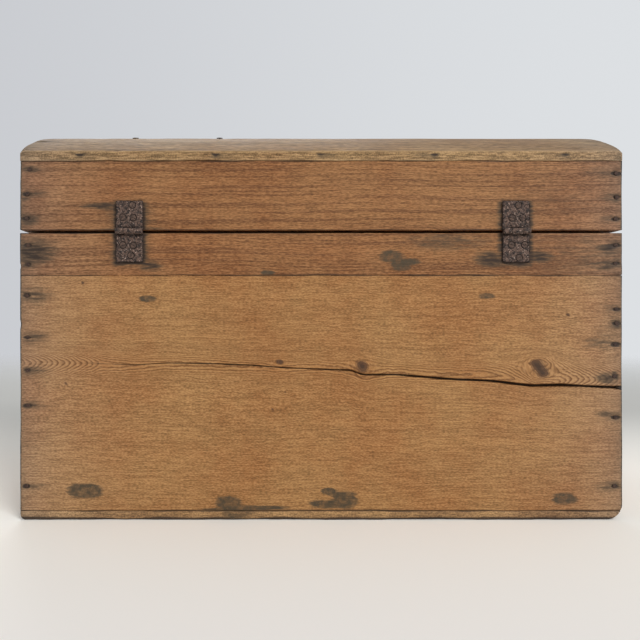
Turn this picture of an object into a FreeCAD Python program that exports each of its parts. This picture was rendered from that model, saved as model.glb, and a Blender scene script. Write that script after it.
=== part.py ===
import FreeCAD, Part

import os
import re

import Sketcher

# Dome-top trunk of old pine boards, in millimetres.
# The origin is on the floor under the middle of the case, +Z is up, the front faces -Y and the
# hinged back faces +Y. Left and right are those of somebody who stands before the front.

doc = FreeCAD.newDocument("dome_top_trunk")

SIZES = {
    # the case and the lid
    "case_length": 715.0,
    "case_depth": 450.0,
    "lid_rim_height": 343.7,
    "lid_side_height": 94.3,
    "dome_rise": 60.0,
    "hinge_gap": 3.5,
    "wall_thickness": 18.0,
    "bottom_thickness": 11.0,
    "plank_thickness": 11.0,
    "upper_back_width": 50.2,
    "lower_front_width": 107.0,
    "lower_end_width": 171.0,
    "overrun": 5.0,
    # nails
    "fit_clearance": 0.05,
    "nail_head_radius": 3.2,
    "nail_head_thickness": 1.2,
    "nail_shank_radius": 1.5,
    "nail_length": 45.0,
    "plank_nail_length": 34.0,
    "brad_head_radius": 2.3,
    "brad_head_thickness": 1.0,
    "brad_shank_radius": 1.2,
    "brad_length": 30.0,
    "tack_head_radius": 4.0,
    "tack_head_thickness": 1.4,
    "tack_shank_radius": 1.0,
    "tack_length": 9.0,
    # back-flap hinges
    "hinge_right_inset": 130.4,
    "hinge_left_inset": 127.0,
    "hinge_width": 32.0,
    "leaf_reach": 36.5,
    "leaf_thickness": 2.2,
    "leaf_relief": 4.2,
    "knuckle_radius": 3.75,
    "middle_knuckle_length": 13.0,
    "knuckle_gap": 0.3,
    "barrel_clearance": 0.1,
    "pin_radius": 1.75,
    # hinge screws
    "screw_head_radius": 4.0,
    "screw_head_depth": 2.1,
    "screw_shank_radius": 2.0,
    "screw_length": 15.0,
    "slot_width": 0.9,
    "slot_depth": 0.8,
    # small screws of the lock and the handles
    "small_head_radius": 2.9,
    "small_head_depth": 1.4,
    "small_shank_radius": 1.5,
    "small_length": 12.0,
    # box lock
    "lock_width": 52.0,
    "lock_height": 38.0,
    "lock_depth": 10.0,
    "lock_wall": 1.2,
    "lock_plate_thickness": 1.5,
    "lock_flange": 8.0,
    "selvedge_depth": 13.0,
    "bolt_length": 34.0,
    "bolt_block_length": 26.0,
    "bolt_block_height": 10.0,
    "bolt_prong_height": 6.0,
    "bolt_prong_thickness": 3.0,
    "bolt_travel": 8.0,
    "bolt_clearance": 0.3,
    "link_thickness": 2.5,
    "link_height": 12.0,
    "link_width": 8.0,
    "link_clearance": 0.4,
    "link_set_back": 1.8,
    "link_plate_length": 52.0,
    # keyhole and its plate
    "keyhole_drop": 20.0,
    "keyhole_radius": 2.6,
    "keyhole_slot_width": 2.8,
    "keyhole_slot_length": 9.0,
    "key_pin_radius": 1.2,
    "escutcheon_width": 20.0,
    "escutcheon_height": 36.0,
    "escutcheon_thickness": 1.2,
    "escutcheon_pin_radius": 1.0,
    "escutcheon_pin_head_radius": 1.6,
    "escutcheon_pin_head_thickness": 0.8,
    "escutcheon_pin_length": 6.0,
    # end handles
    "handle_height": 264.0,
    "handle_plate_length": 112.0,
    "handle_plate_height": 32.0,
    "handle_plate_thickness": 2.0,
    "handle_standoff": 8.0,
    "ear_inner_place": 30.0,
    "ear_width": 7.0,
    "ear_radius": 6.2,
    "bail_rod_radius": 3.5,
    "bail_half_width": 47.0,
    "bail_bend_radius": 9.0,
    "bail_drop": 46.0,
    "bail_pin_overhang": 1.5,
    "bail_clearance": 0.1,
}

PLANKS = 4

sheet = doc.addObject("Spreadsheet::Sheet", "Sizes")
for row, (name, size) in enumerate(SIZES.items(), 1):
    sheet.set(f"A{row}", name)
    sheet.set(f"B{row}", str(size))
    sheet.setAlias(f"B{row}", name)
doc.recompute()

# places that several pieces share, written in the sizes above
END = "(case_length / 2)"
BACK = "(case_depth / 2)"
END_INNER = "(case_length / 2 - wall_thickness)"
BACK_INNER = "(case_depth / 2 - wall_thickness)"
LID_RIM = "lid_rim_height"
BACK_RIM = "(lid_rim_height - hinge_gap)"
BACK_SEAM = "(lid_rim_height - hinge_gap - upper_back_width)"
FRONT_SEAM = "(bottom_thickness + lower_front_width)"
END_SEAM = "(bottom_thickness + lower_end_width)"
ARRIS = "(lid_rim_height + lid_side_height)"
DOME_RADIUS = "((case_depth ^ 2 / 4 + dome_rise ^ 2) / (2 * dome_rise))"
DOME_CENTRE = f"({ARRIS} + dome_rise - {DOME_RADIUS})"
DOME_INNER = f"({DOME_RADIUS} - plank_thickness)"
AXIS_Y = "(case_depth / 2 + knuckle_radius + barrel_clearance)"
AXIS_Z = "(lid_rim_height - hinge_gap / 2)"

X_AXIS = FreeCAD.Vector(1, 0, 0)
Y_AXIS = FreeCAD.Vector(0, 1, 0)
Z_AXIS = FreeCAD.Vector(0, 0, 1)
UNTURNED = (Z_AXIS, "0")

subparts = []


def ex(text):
    """Puts the sheet's name before each size in an expression."""
    return re.sub("[a-z_]+", lambda word: f"Sizes.{word[0]}" if word[0] in SIZES else word[0], text)


def value(text):
    """What an expression gives with the sheet's present sizes."""
    result = sheet.evalExpression(ex(text))
    return getattr(result, "Value", result)


def bind(item, **expressions):
    """Ties an object's properties to the sheet."""
    for prop, text in expressions.items():
        item.setExpression(prop, ex(text))
    return item


def place(item, x="0", y="0", z="0", turn=UNTURNED):
    """Sets where an object's own origin lies, and how far it is turned about which axis."""
    axis, angle = turn
    item.Placement.Rotation = FreeCAD.Rotation(axis, value(angle))
    for way, text in zip("xyz", (x, y, z)):
        item.setExpression(f".Placement.Base.{way}", ex(text))
    if angle != "0":
        for way, part in zip("xyz", axis):
            item.setExpression(f".Placement.Rotation.Axis.{way}", str(part))
        item.setExpression(".Placement.Rotation.Angle", ex(angle))
    return item


def keep(item, label):
    """Names a finished piece and lists it for writing."""
    item.Label = label
    subparts.append(item)
    return item


def box(name, x, y, z):
    """A block between two places along each axis."""
    item = doc.addObject("Part::Box", name)
    bind(item, Length=f"{x[1]} - ({x[0]})", Width=f"{y[1]} - ({y[0]})", Height=f"{z[1]} - ({z[0]})")
    return place(item, x[0], y[0], z[0])


def cylinder(name, radius, start, end, x="0", y="0", z="0", along=Z_AXIS):
    """A round bar between two places along one axis, with its centre line at x, y or z."""
    item = doc.addObject("Part::Cylinder", name)
    bind(item, Radius=radius, Height=f"{end} - ({start})")
    if along == X_AXIS:
        return place(item, start, y, z, (Y_AXIS, "90"))
    if along == Y_AXIS:
        return place(item, x, start, z, (X_AXIS, "-90"))
    return place(item, x, y, start)


def fuse(name, pieces):
    item = doc.addObject("Part::MultiFuse", name)
    item.Shapes = pieces
    return item


def group(name, pieces):
    item = doc.addObject("Part::Compound", name)
    item.Links = pieces
    return item


def common(name, base, tool):
    item = doc.addObject("Part::Common", name)
    item.Base = base
    item.Tool = tool
    return item


def cut(name, base, tools):
    """The base less all the tools."""
    item = doc.addObject("Part::Cut", name)
    item.Base = base
    item.Tool = tools[0] if len(tools) == 1 else group(f"{name}_tools", tools)
    return item


def mirrored(sign, low, high):
    """A span on the +X side, or its image on the -X side."""
    return (low, high) if sign > 0 else (f"-({high})", f"-({low})")


def side(sign, text):
    """A place on the +X side, or its image on the -X side."""
    return text if sign > 0 else f"-({text})"


def outline(body, name, role, points, arcs=None):
    """A closed sketch on one of the body's planes. arcs gives, by the place in the list of the
    point where it starts, the radius of an arc and the height of its centre on the middle line."""
    arcs = arcs or {}
    sketch = body.newObject("Sketcher::SketchObject", name)
    origin_plane = next(item for item in body.Origin.OriginFeatures if item.Role == role)
    sketch.AttachmentSupport = [(origin_plane, "")]
    sketch.MapMode = "FlatFace"
    ends = [FreeCAD.Vector(value(x), value(y), 0) for x, y in points]
    edges = []
    for here, start in enumerate(ends):
        finish = ends[(here + 1) % len(ends)]
        if here in arcs:
            radius, height = (value(text) for text in arcs[here])
            centre = FreeCAD.Vector(0, height, 0)
            middle = ((start + finish) * 0.5 - centre).normalize() * radius + centre
            edge = sketch.addGeometry(Part.Arc(start, middle, finish), False)
        else:
            edge = sketch.addGeometry(Part.LineSegment(start, finish), False)
        edges.append(edge)

    def corner(edge, point):
        """Which end of an edge, 1 or 2, lies at a point."""
        return min((1, 2), key=lambda end: sketch.getPoint(edge, end).distanceToPoint(point))

    for here, point in enumerate(ends):
        edge, before = edges[here], edges[here - 1]
        first, last = corner(edge, point), corner(before, point)
        sketch.addConstraint(Sketcher.Constraint("Coincident", before, last, edge, first))
        for kind, text, line in (("DistanceX", points[here][0], -2), ("DistanceY", points[here][1], -1)):
            if text == "0":
                sketch.addConstraint(Sketcher.Constraint("PointOnObject", edge, first, line))
            else:
                number = sketch.addConstraint(Sketcher.Constraint(kind, -1, 1, edge, first, value(text)))
                sketch.setExpression(f"Constraints[{number}]", ex(text))
    for here, (radius, height) in arcs.items():
        number = sketch.addConstraint(Sketcher.Constraint("Radius", edges[here], value(radius)))
        sketch.setExpression(f"Constraints[{number}]", ex(radius))
    return sketch


def padded(label, role, points, length, arcs=None):
    """A body with one outline, given its length square to the outline's plane."""
    body = doc.addObject("PartDesign::Body", label)
    pad = body.newObject("PartDesign::Pad", f"{label}_pad")
    pad.Profile = outline(body, f"{label}_outline", role, points, arcs)
    bind(pad, Length=length)
    body.Tip = pad
    return body


def turned(label, points):
    """A body turned about its own Z, from half its outline."""
    body = doc.addObject("PartDesign::Body", label)
    sketch = outline(body, f"{label}_outline", "XZ_Plane", points)
    turning = body.newObject("PartDesign::Revolution", f"{label}_turning")
    turning.Profile = sketch
    turning.ReferenceAxis = (sketch, ["V_Axis"])
    turning.Angle = 360
    body.Tip = turning
    return body


# Nails, screws and pins. Each kind is drawn once with its head's top at its own origin and its
# shank down its own -Z, and beside it the hole that it leaves in the wood, open past the head.

def nail(label, head_radius, head_thickness, shank_radius, length, proud="0"):
    solid = turned(label, [
        ("0", proud), (head_radius, proud), (head_radius, f"{proud} - {head_thickness}"),
        (shank_radius, f"{proud} - {head_thickness}"),
        (shank_radius, f"3 * {shank_radius} - {length}"), ("0", f"-{length}")])
    wide, deep = f"{head_radius} + fit_clearance", f"{proud} - {head_thickness} - fit_clearance"
    narrow, end = f"{shank_radius} + fit_clearance", f"-{length} - fit_clearance"
    hole = turned(f"{label}_hole", [
        ("0", "overrun"), (wide, "overrun"), (wide, deep), (narrow, deep), (narrow, end), ("0", end)])
    return solid, hole


def screw(label, head_radius, head_depth, shank_radius, length):
    blank = turned(f"{label}_blank", [
        ("0", "0"), (head_radius, "0"), (shank_radius, f"-{head_depth}"),
        (shank_radius, f"2 * {shank_radius} - {length}"), ("0", f"-{length}")])
    slot = box(f"{label}_slot", (f"-{head_radius} - overrun", f"{head_radius} + overrun"),
               ("-slot_width / 2", "slot_width / 2"), ("-slot_depth", "overrun"))
    wide, narrow = f"{head_radius} + fit_clearance", f"{shank_radius} + fit_clearance"
    end = f"-{length} - fit_clearance"
    hole = turned(f"{label}_hole", [
        ("0", "overrun"), (wide, "overrun"), (wide, "0"), (narrow, f"-{head_depth}"),
        (narrow, end), ("0", end)])
    return cut(label, blank, [slot]), hole


def fasteners(label, kind, places):
    """A group of one kind of fastener as a piece of its own, and the group of its holes."""
    copies = []
    holes = []
    for number, (x, y, z, turn) in enumerate(places, 1):
        for source, links, word in ((kind[0], copies, "solid"), (kind[1], holes, "hole")):
            link = doc.addObject("App::Link", f"{label}_{word}_{number}")
            link.LinkedObject = source
            links.append(place(link, x, y, z, turn))
    keep(group(label, copies), label)
    return group(f"{label}_holes", holes)


OUT_OF_BACK = (X_AXIS, "-90")
OUT_OF_FRONT = (X_AXIS, "90")
OUT_OF_BASE = (X_AXIS, "180")
OUT_OF_END = {1: (Y_AXIS, "90"), -1: (Y_AXIS, "-90")}

nail_kind = nail("wall_nail", "nail_head_radius", "nail_head_thickness", "nail_shank_radius",
                 "nail_length")
plank_nail_kind = nail("plank_nail", "nail_head_radius", "nail_head_thickness", "nail_shank_radius",
                       "plank_nail_length")
brad_kind = nail("brad", "brad_head_radius", "brad_head_thickness", "brad_shank_radius", "brad_length")
tack_kind = nail("tack", "tack_head_radius", "tack_head_thickness", "tack_shank_radius",
                 "tack_length", "tack_head_thickness")
hinge_screw_kind = screw("hinge_screw", "screw_head_radius", "screw_head_depth",
                         "screw_shank_radius", "screw_length")
small_screw_kind = screw("small_screw", "small_head_radius", "small_head_depth",
                         "small_shank_radius", "small_length")
escutcheon_pin_kind = nail("round_pin", "escutcheon_pin_head_radius", "escutcheon_pin_head_thickness",
                           "escutcheon_pin_radius", "escutcheon_pin_length",
                           "escutcheon_pin_head_thickness")

# Corner nails go through the front and back boards into the ends' edges. Each pair of shares is
# how far up its board a nail stands, and how far across the end board's thickness.

LOWER_BACK_SHARES = {
    1: [(0.914, 0.46), (0.735, 0.50), (0.594, 0.50), (0.447, 0.52), (0.103, 0.42)],
    -1: [(0.856, 0.40), (0.795, 0.36), (0.706, 0.46), (0.570, 0.52), (0.396, 0.46), (0.103, 0.52)],
}
UPPER_BACK_SHARES = {1: [(0.71, 0.54), (0.26, 0.50)], -1: [(0.71, 0.44), (0.28, 0.44)]}
LID_SHARES = {
    1: [(0.88, 0.62), (0.526, 0.46), (0.171, 0.42)],
    -1: [(0.826, 0.40), (0.476, 0.36), (0.163, 0.44)],
}
LOWER_FRONT_SHARES = [(0.80, 0.5), (0.25, 0.5)]
UPPER_FRONT_SHARES = [(0.90, 0.5), (0.64, 0.5), (0.36, 0.5), (0.10, 0.5)]


def corner_nails(shares, low, high, wall, turn):
    """Places of nails at both ends of a board that spans two heights."""
    places = []
    for sign in (1, -1):
        for up, across in shares[sign]:
            x = side(sign, f"{END} - {across} * wall_thickness")
            places.append((x, wall, f"{low} + {up} * ({high} - {low})", turn))
    return places


def both_ends(shares):
    return {1: shares, -1: shares}


FRONT = f"-{BACK}"
back_nail_holes = fasteners("back_corner_nails", nail_kind, (
    corner_nails(LOWER_BACK_SHARES, "bottom_thickness", BACK_SEAM, BACK, OUT_OF_BACK)
    + corner_nails(UPPER_BACK_SHARES, BACK_SEAM, BACK_RIM, BACK, OUT_OF_BACK)))
front_nail_holes = fasteners("front_corner_nails", nail_kind, (
    corner_nails(both_ends(LOWER_FRONT_SHARES), "bottom_thickness", FRONT_SEAM,
                 FRONT, OUT_OF_FRONT)
    + corner_nails(both_ends(UPPER_FRONT_SHARES), FRONT_SEAM, LID_RIM,
                   FRONT, OUT_OF_FRONT)))
LID_WALL_TOP = f"({DOME_CENTRE} + sqrt({DOME_INNER} ^ 2 - case_depth ^ 2 / 4))"
lid_nail_holes = fasteners("lid_corner_nails", nail_kind, (
    corner_nails(LID_SHARES, LID_RIM, LID_WALL_TOP, BACK, OUT_OF_BACK)
    + corner_nails(both_ends(LID_SHARES[1]), LID_RIM, LID_WALL_TOP, FRONT, OUT_OF_FRONT)))

# Bottom nails go up through the bottom boards into the middle of the walls' lower edges.

LONG_WALL_SHARES = (-0.90, -0.56, -0.19, 0.17, 0.55, 0.91)
END_WALL_SHARES = (-0.52, -0.20, 0.22, 0.53)
bottom_places = []
for sign in (1, -1):
    wall = side(sign, f"{BACK} - wall_thickness / 2")
    end_wall = side(sign, f"{END} - wall_thickness / 2")
    for share in LONG_WALL_SHARES:
        bottom_places.append((f"{share} * {END}", wall, "0", OUT_OF_BASE))
    for share in END_WALL_SHARES:
        bottom_places.append((end_wall, f"{share} * {BACK}", "0", OUT_OF_BASE))
bottom_nail_holes = fasteners("bottom_nails", nail_kind, bottom_places)

# The bottom is three long boards, nailed on under the walls.

BOTTOM_SHARES = (-1.0, -0.344, 0.324, 1.0)
for number, label in enumerate(("bottom_board_front", "bottom_board_middle", "bottom_board_back")):
    low, high = BOTTOM_SHARES[number], BOTTOM_SHARES[number + 1]
    blank = box(f"{label}_blank", (f"-{END}", END), (f"{low} * {BACK}", f"{high} * {BACK}"),
                ("0", "bottom_thickness"))
    keep(cut(label, blank, [bottom_nail_holes]), label)

# Back-flap hinges, screwed flat on the back across the gap under the lid. The case's leaf carries
# the middle knuckle and the pin, and the lid's leaf the two outer ones. Each pair of shares is a
# screw's place along half the leaf's width and along its reach.

HINGES = {"right": f"({END} - hinge_right_inset)", "left": f"(hinge_left_inset - {END})"}
LEAF_SCREW_SHARES = {
    ("right", 1): [(0.49, 0.45), (-0.28, 0.44), (-0.22, 0.85)],
    ("right", -1): [(0.47, 0.45), (-0.29, 0.46), (-0.11, 0.78)],
    ("left", 1): [(0.29, 0.43), (-0.49, 0.43), (-0.17, 0.84)],
    ("left", -1): [(0.33, 0.44), (-0.63, 0.44), (-0.23, 0.86)],
}
LEAF_FACE = f"({BACK} + leaf_thickness)"


def leaf_screw_places(way):
    """Screw places of both hinges' leaves above the axis, or of those below it."""
    places = []
    for hinge, middle in HINGES.items():
        for across, along in LEAF_SCREW_SHARES[hinge, way]:
            x = f"{middle} + {across} * hinge_width / 2"
            z = f"{AXIS_Z} + {way * along} * leaf_reach"
            places.append((x, LEAF_FACE, z, OUT_OF_BACK))
    return places


case_screw_holes = fasteners("hinge_case_screws", hinge_screw_kind, leaf_screw_places(-1))
lid_screw_holes = fasteners("hinge_lid_screws", hinge_screw_kind, leaf_screw_places(1))


def hinge_leaf(label, middle, way, knuckles, screw_holes):
    """A leaf above or below the axis: a plate, a neck and a knuckle for each stretch of the pin."""
    near, far = f"{AXIS_Z} + {way} * leaf_relief", f"{AXIS_Z} + {way} * leaf_reach"
    flat = (BACK, LEAF_FACE)
    plate_span = (near, far) if way > 0 else (far, near)
    neck_span = (AXIS_Z, near) if way > 0 else (near, AXIS_Z)
    width = (f"{middle} - hinge_width / 2", f"{middle} + hinge_width / 2")
    pieces = [box(f"{label}_plate", width, flat, plate_span)]
    for number, (start, end) in enumerate(knuckles, 1):
        pieces.append(box(f"{label}_neck_{number}", (start, end), flat, neck_span))
        pieces.append(cylinder(f"{label}_knuckle_{number}", "knuckle_radius", start, end,
                               y=AXIS_Y, z=AXIS_Z, along=X_AXIS))
    bore = cylinder(f"{label}_bore", "pin_radius + fit_clearance", f"{width[0]} - overrun",
                    f"{width[1]} + overrun", y=AXIS_Y, z=AXIS_Z, along=X_AXIS)
    keep(cut(label, fuse(f"{label}_blank", pieces), [bore, screw_holes]), label)


for hinge, middle in HINGES.items():
    start, end = f"{middle} - hinge_width / 2", f"{middle} + hinge_width / 2"
    inner_start = f"{middle} - middle_knuckle_length / 2"
    inner_end = f"{middle} + middle_knuckle_length / 2"
    hinge_leaf(f"hinge_case_leaf_{hinge}", middle, -1, [(inner_start, inner_end)], case_screw_holes)
    outer = [(start, f"{inner_start} - knuckle_gap"), (f"{inner_end} + knuckle_gap", end)]
    hinge_leaf(f"hinge_lid_leaf_{hinge}", middle, 1, outer, lid_screw_holes)
    keep(cylinder(f"hinge_pin_{hinge}", "pin_radius", start, end, y=AXIS_Y, z=AXIS_Z, along=X_AXIS),
         f"hinge_pin_{hinge}")

# Iron box lock, let into the front board's inner face and top edge. Its plate lies flush inside,
# its selvedge flush on the rim, and its shell is sunk in the wood.

PLATE_FACE = f"-{BACK_INNER}"
SHELL_INNER = f"({PLATE_FACE} - lock_plate_thickness)"
SHELL_OUTER = f"({PLATE_FACE} - lock_plate_thickness - lock_depth)"
SELVEDGE_UNDER = "(lid_rim_height - lock_plate_thickness)"
SHELL_FLOOR = "(lid_rim_height - lock_height)"
PLATE_FLOOR = "(lid_rim_height - lock_height - lock_flange)"
LOCK_END = "(lock_width / 2)"
PLATE_END = "(lock_width / 2 + lock_flange)"
KEYHOLE_Z = "(lid_rim_height - keyhole_drop)"
BOLT_Y = f"({SHELL_INNER} - (lock_depth - lock_wall) / 2)"
BLOCK_TOP = f"({SELVEDGE_UNDER} - bolt_clearance)"
PRONG_Z = f"({BLOCK_TOP} - bolt_block_height / 2)"
PRONG_END = f"({LOCK_END} - lock_wall - bolt_travel - link_set_back - link_thickness - bolt_clearance)"
LINK_START = f"({PRONG_END} + link_set_back)"
LINK_END = f"({LINK_START} + link_thickness)"

shell_span = (f"-{LOCK_END}", LOCK_END)
plate_span = (f"-{PLATE_END}", PLATE_END)
shell_room = box("lock_shell_room", shell_span, (SHELL_OUTER, SHELL_INNER), (SHELL_FLOOR, SELVEDGE_UNDER))
plate_room = box("lock_plate_room", plate_span, (SHELL_INNER, f"{PLATE_FACE} + overrun"),
                 (PLATE_FLOOR, "lid_rim_height + overrun"))
selvedge_room = box("selvedge_room", plate_span, (f"{PLATE_FACE} - selvedge_depth", PLATE_FACE),
                    (SELVEDGE_UNDER, "lid_rim_height + overrun"))


def keyhole(name, start, end):
    """A round hole with a slot below it, along Y."""
    hole = cylinder(f"{name}_round", "keyhole_radius", start, end, z=KEYHOLE_Z, along=Y_AXIS)
    slot = box(f"{name}_slot", ("-keyhole_slot_width / 2", "keyhole_slot_width / 2"), (start, end),
               (f"{KEYHOLE_Z} - keyhole_slot_length", KEYHOLE_Z))
    return fuse(name, [hole, slot])


keyhole_cut = keyhole("keyhole", f"{FRONT} - escutcheon_thickness - overrun",
                      f"{SHELL_OUTER} + lock_wall + overrun / 10")

lock_screw_places = []
for sign in (1, -1):
    screw_x = side(sign, f"{LOCK_END} + lock_flange / 2")
    lock_screw_places.append((screw_x, f"{PLATE_FACE} - selvedge_depth / 2", LID_RIM, UNTURNED))
    lock_screw_places.append((screw_x, PLATE_FACE, f"{SHELL_FLOOR} - lock_flange / 2", OUT_OF_BACK))
lock_screw_holes = fasteners("lock_screws", small_screw_kind, lock_screw_places)

shell_inside = box("lock_shell_inside", (f"-{LOCK_END} + lock_wall", f"{LOCK_END} - lock_wall"),
                   (f"{SHELL_OUTER} + lock_wall", f"{SHELL_INNER} + overrun"),
                   (f"{SHELL_FLOOR} + lock_wall", f"{SELVEDGE_UNDER} + overrun"))
shell_blank = box("lock_shell_blank", shell_span, (SHELL_OUTER, SHELL_INNER), (SHELL_FLOOR, SELVEDGE_UNDER))
keep(cut("lock_shell", shell_blank, [shell_inside, keyhole_cut]), "lock_shell")

upright = box("lock_upright", plate_span, (SHELL_INNER, PLATE_FACE), (PLATE_FLOOR, LID_RIM))
selvedge = box("lock_selvedge", plate_span, (f"{PLATE_FACE} - selvedge_depth", PLATE_FACE),
               (SELVEDGE_UNDER, LID_RIM))
link_slot = box("link_slot", (f"{LINK_START} - link_clearance", f"{LINK_END} + link_clearance"),
                (f"{BOLT_Y} - link_width / 2 - link_clearance / 2",
                 f"{BOLT_Y} + link_width / 2 + link_clearance / 2"),
                (f"{SELVEDGE_UNDER} - overrun", "lid_rim_height + overrun"))
keep(cut("lock_plate", fuse("lock_plate_blank", [upright, selvedge]), [link_slot, lock_screw_holes]),
     "lock_plate")

keep(cylinder("lock_key_pin", "key_pin_radius", f"{SHELL_OUTER} + lock_wall / 2", SHELL_INNER,
              z=KEYHOLE_Z, along=Y_AXIS), "lock_key_pin")

BOLT_START = f"({PRONG_END} - bolt_length)"
half_block = "((lock_depth - lock_wall) / 2 - bolt_clearance)"
block = box("bolt_block", (BOLT_START, f"{BOLT_START} + bolt_block_length"),
            (f"{BOLT_Y} - {half_block}", f"{BOLT_Y} + {half_block}"),
            (f"{BLOCK_TOP} - bolt_block_height", BLOCK_TOP))
prong = box("bolt_prong", (BOLT_START, PRONG_END),
            (f"{BOLT_Y} - bolt_prong_thickness / 2", f"{BOLT_Y} + bolt_prong_thickness / 2"),
            (f"{PRONG_Z} - bolt_prong_height / 2", f"{PRONG_Z} + bolt_prong_height / 2"))
keep(fuse("lock_bolt", [block, prong]), "lock_bolt")

# The lid's half of the lock: a plate let into the rim of the lid, with a link that drops through
# the selvedge and takes the bolt in its eye.

LINK_PLATE_TOP = f"({LID_RIM} + lock_plate_thickness)"
link_plate_span = ("-link_plate_length / 2", "link_plate_length / 2")
link_plate_depth = (f"{PLATE_FACE} - selvedge_depth", PLATE_FACE)
link_plate_blank = box("link_plate_blank", link_plate_span, link_plate_depth, (LID_RIM, LINK_PLATE_TOP))
link_plate_room = box("link_plate_room", link_plate_span, (link_plate_depth[0], f"{PLATE_FACE} + overrun"),
                      (f"{LID_RIM} - overrun", LINK_PLATE_TOP))
link = box("link", (LINK_START, LINK_END), (f"{BOLT_Y} - link_width / 2", f"{BOLT_Y} + link_width / 2"),
           (f"{LID_RIM} - link_height", LID_RIM))
eye_half_y = "(bolt_prong_thickness / 2 + link_clearance)"
eye_half_z = "(bolt_prong_height / 2 + link_clearance)"
eye = box("link_eye", (f"{LINK_START} - overrun / 10", f"{LINK_END} + overrun / 10"),
          (f"{BOLT_Y} - {eye_half_y}", f"{BOLT_Y} + {eye_half_y}"),
          (f"{PRONG_Z} - {eye_half_z}", f"{PRONG_Z} + {eye_half_z}"))
link_screw_holes = fasteners("lock_link_screws", small_screw_kind, [
    (side(sign, "link_plate_length / 2 - lock_flange"), f"{PLATE_FACE} - selvedge_depth / 2", LID_RIM,
     OUT_OF_BASE) for sign in (1, -1)])
keep(cut("lock_link_plate", fuse("lock_link_blank", [link_plate_blank, link]), [eye, link_screw_holes]),
     "lock_link_plate")

# Keyhole plate, an iron slip with round ends, pinned on the front.

escutcheon_low = f"({KEYHOLE_Z} - keyhole_slot_length / 2 - escutcheon_height / 2 + escutcheon_width / 2)"
escutcheon_high = f"({KEYHOLE_Z} - keyhole_slot_length / 2 + escutcheon_height / 2 - escutcheon_width / 2)"
ESCUTCHEON_FACE = f"({FRONT} - escutcheon_thickness)"
slip = box("escutcheon_slip", ("-escutcheon_width / 2", "escutcheon_width / 2"), (ESCUTCHEON_FACE, FRONT),
           (escutcheon_low, escutcheon_high))
round_ends = [cylinder(f"escutcheon_round_{number}", "escutcheon_width / 2", ESCUTCHEON_FACE, FRONT,
                       z=height, along=Y_AXIS)
              for number, height in enumerate((escutcheon_low, escutcheon_high), 1)]
escutcheon_pin_holes = fasteners("escutcheon_pins", escutcheon_pin_kind, [
    ("0", ESCUTCHEON_FACE, f"{escutcheon_low} - escutcheon_width / 4", OUT_OF_FRONT),
    ("0", ESCUTCHEON_FACE, f"{escutcheon_high} + escutcheon_width / 4", OUT_OF_FRONT)])
keep(cut("escutcheon", fuse("escutcheon_blank", [slip] + round_ends), [keyhole_cut, escutcheon_pin_holes]),
     "escutcheon")

# End handles: an iron plate with two ears screwed on each end, and a drop bail in the ears.

PIVOT_X = f"({END} + handle_plate_thickness + handle_standoff)"
PLATE_OUTER = f"({END} + handle_plate_thickness)"
EAR_OUTER = "(ear_inner_place + ear_width)"
handle_screw_places = []
for sign in (1, -1):
    for across in (1, -1):
        for up in (1, -1):
            handle_screw_places.append((
                side(sign, PLATE_OUTER), f"{across} * (handle_plate_length / 2 - handle_plate_height / 4)",
                f"handle_height + {up} * handle_plate_height / 4", OUT_OF_END[sign]))
handle_screw_holes = fasteners("handle_screws", small_screw_kind, handle_screw_places)


def bail_bend(name, y, z, angle, x):
    """A quarter turn of the bail's rod about a centre in the bail's plane."""
    bend = doc.addObject("Part::Torus", name)
    bind(bend, Radius1="bail_bend_radius", Radius2="bail_rod_radius")
    bend.Angle3 = 90
    turn = FreeCAD.Rotation(X_AXIS, angle) * FreeCAD.Rotation(Y_AXIS, 90)
    bend.Placement.Rotation = turn
    for way, text in zip("xyz", (x, y, z)):
        bend.setExpression(f".Placement.Base.{way}", ex(text))
    return bend


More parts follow.
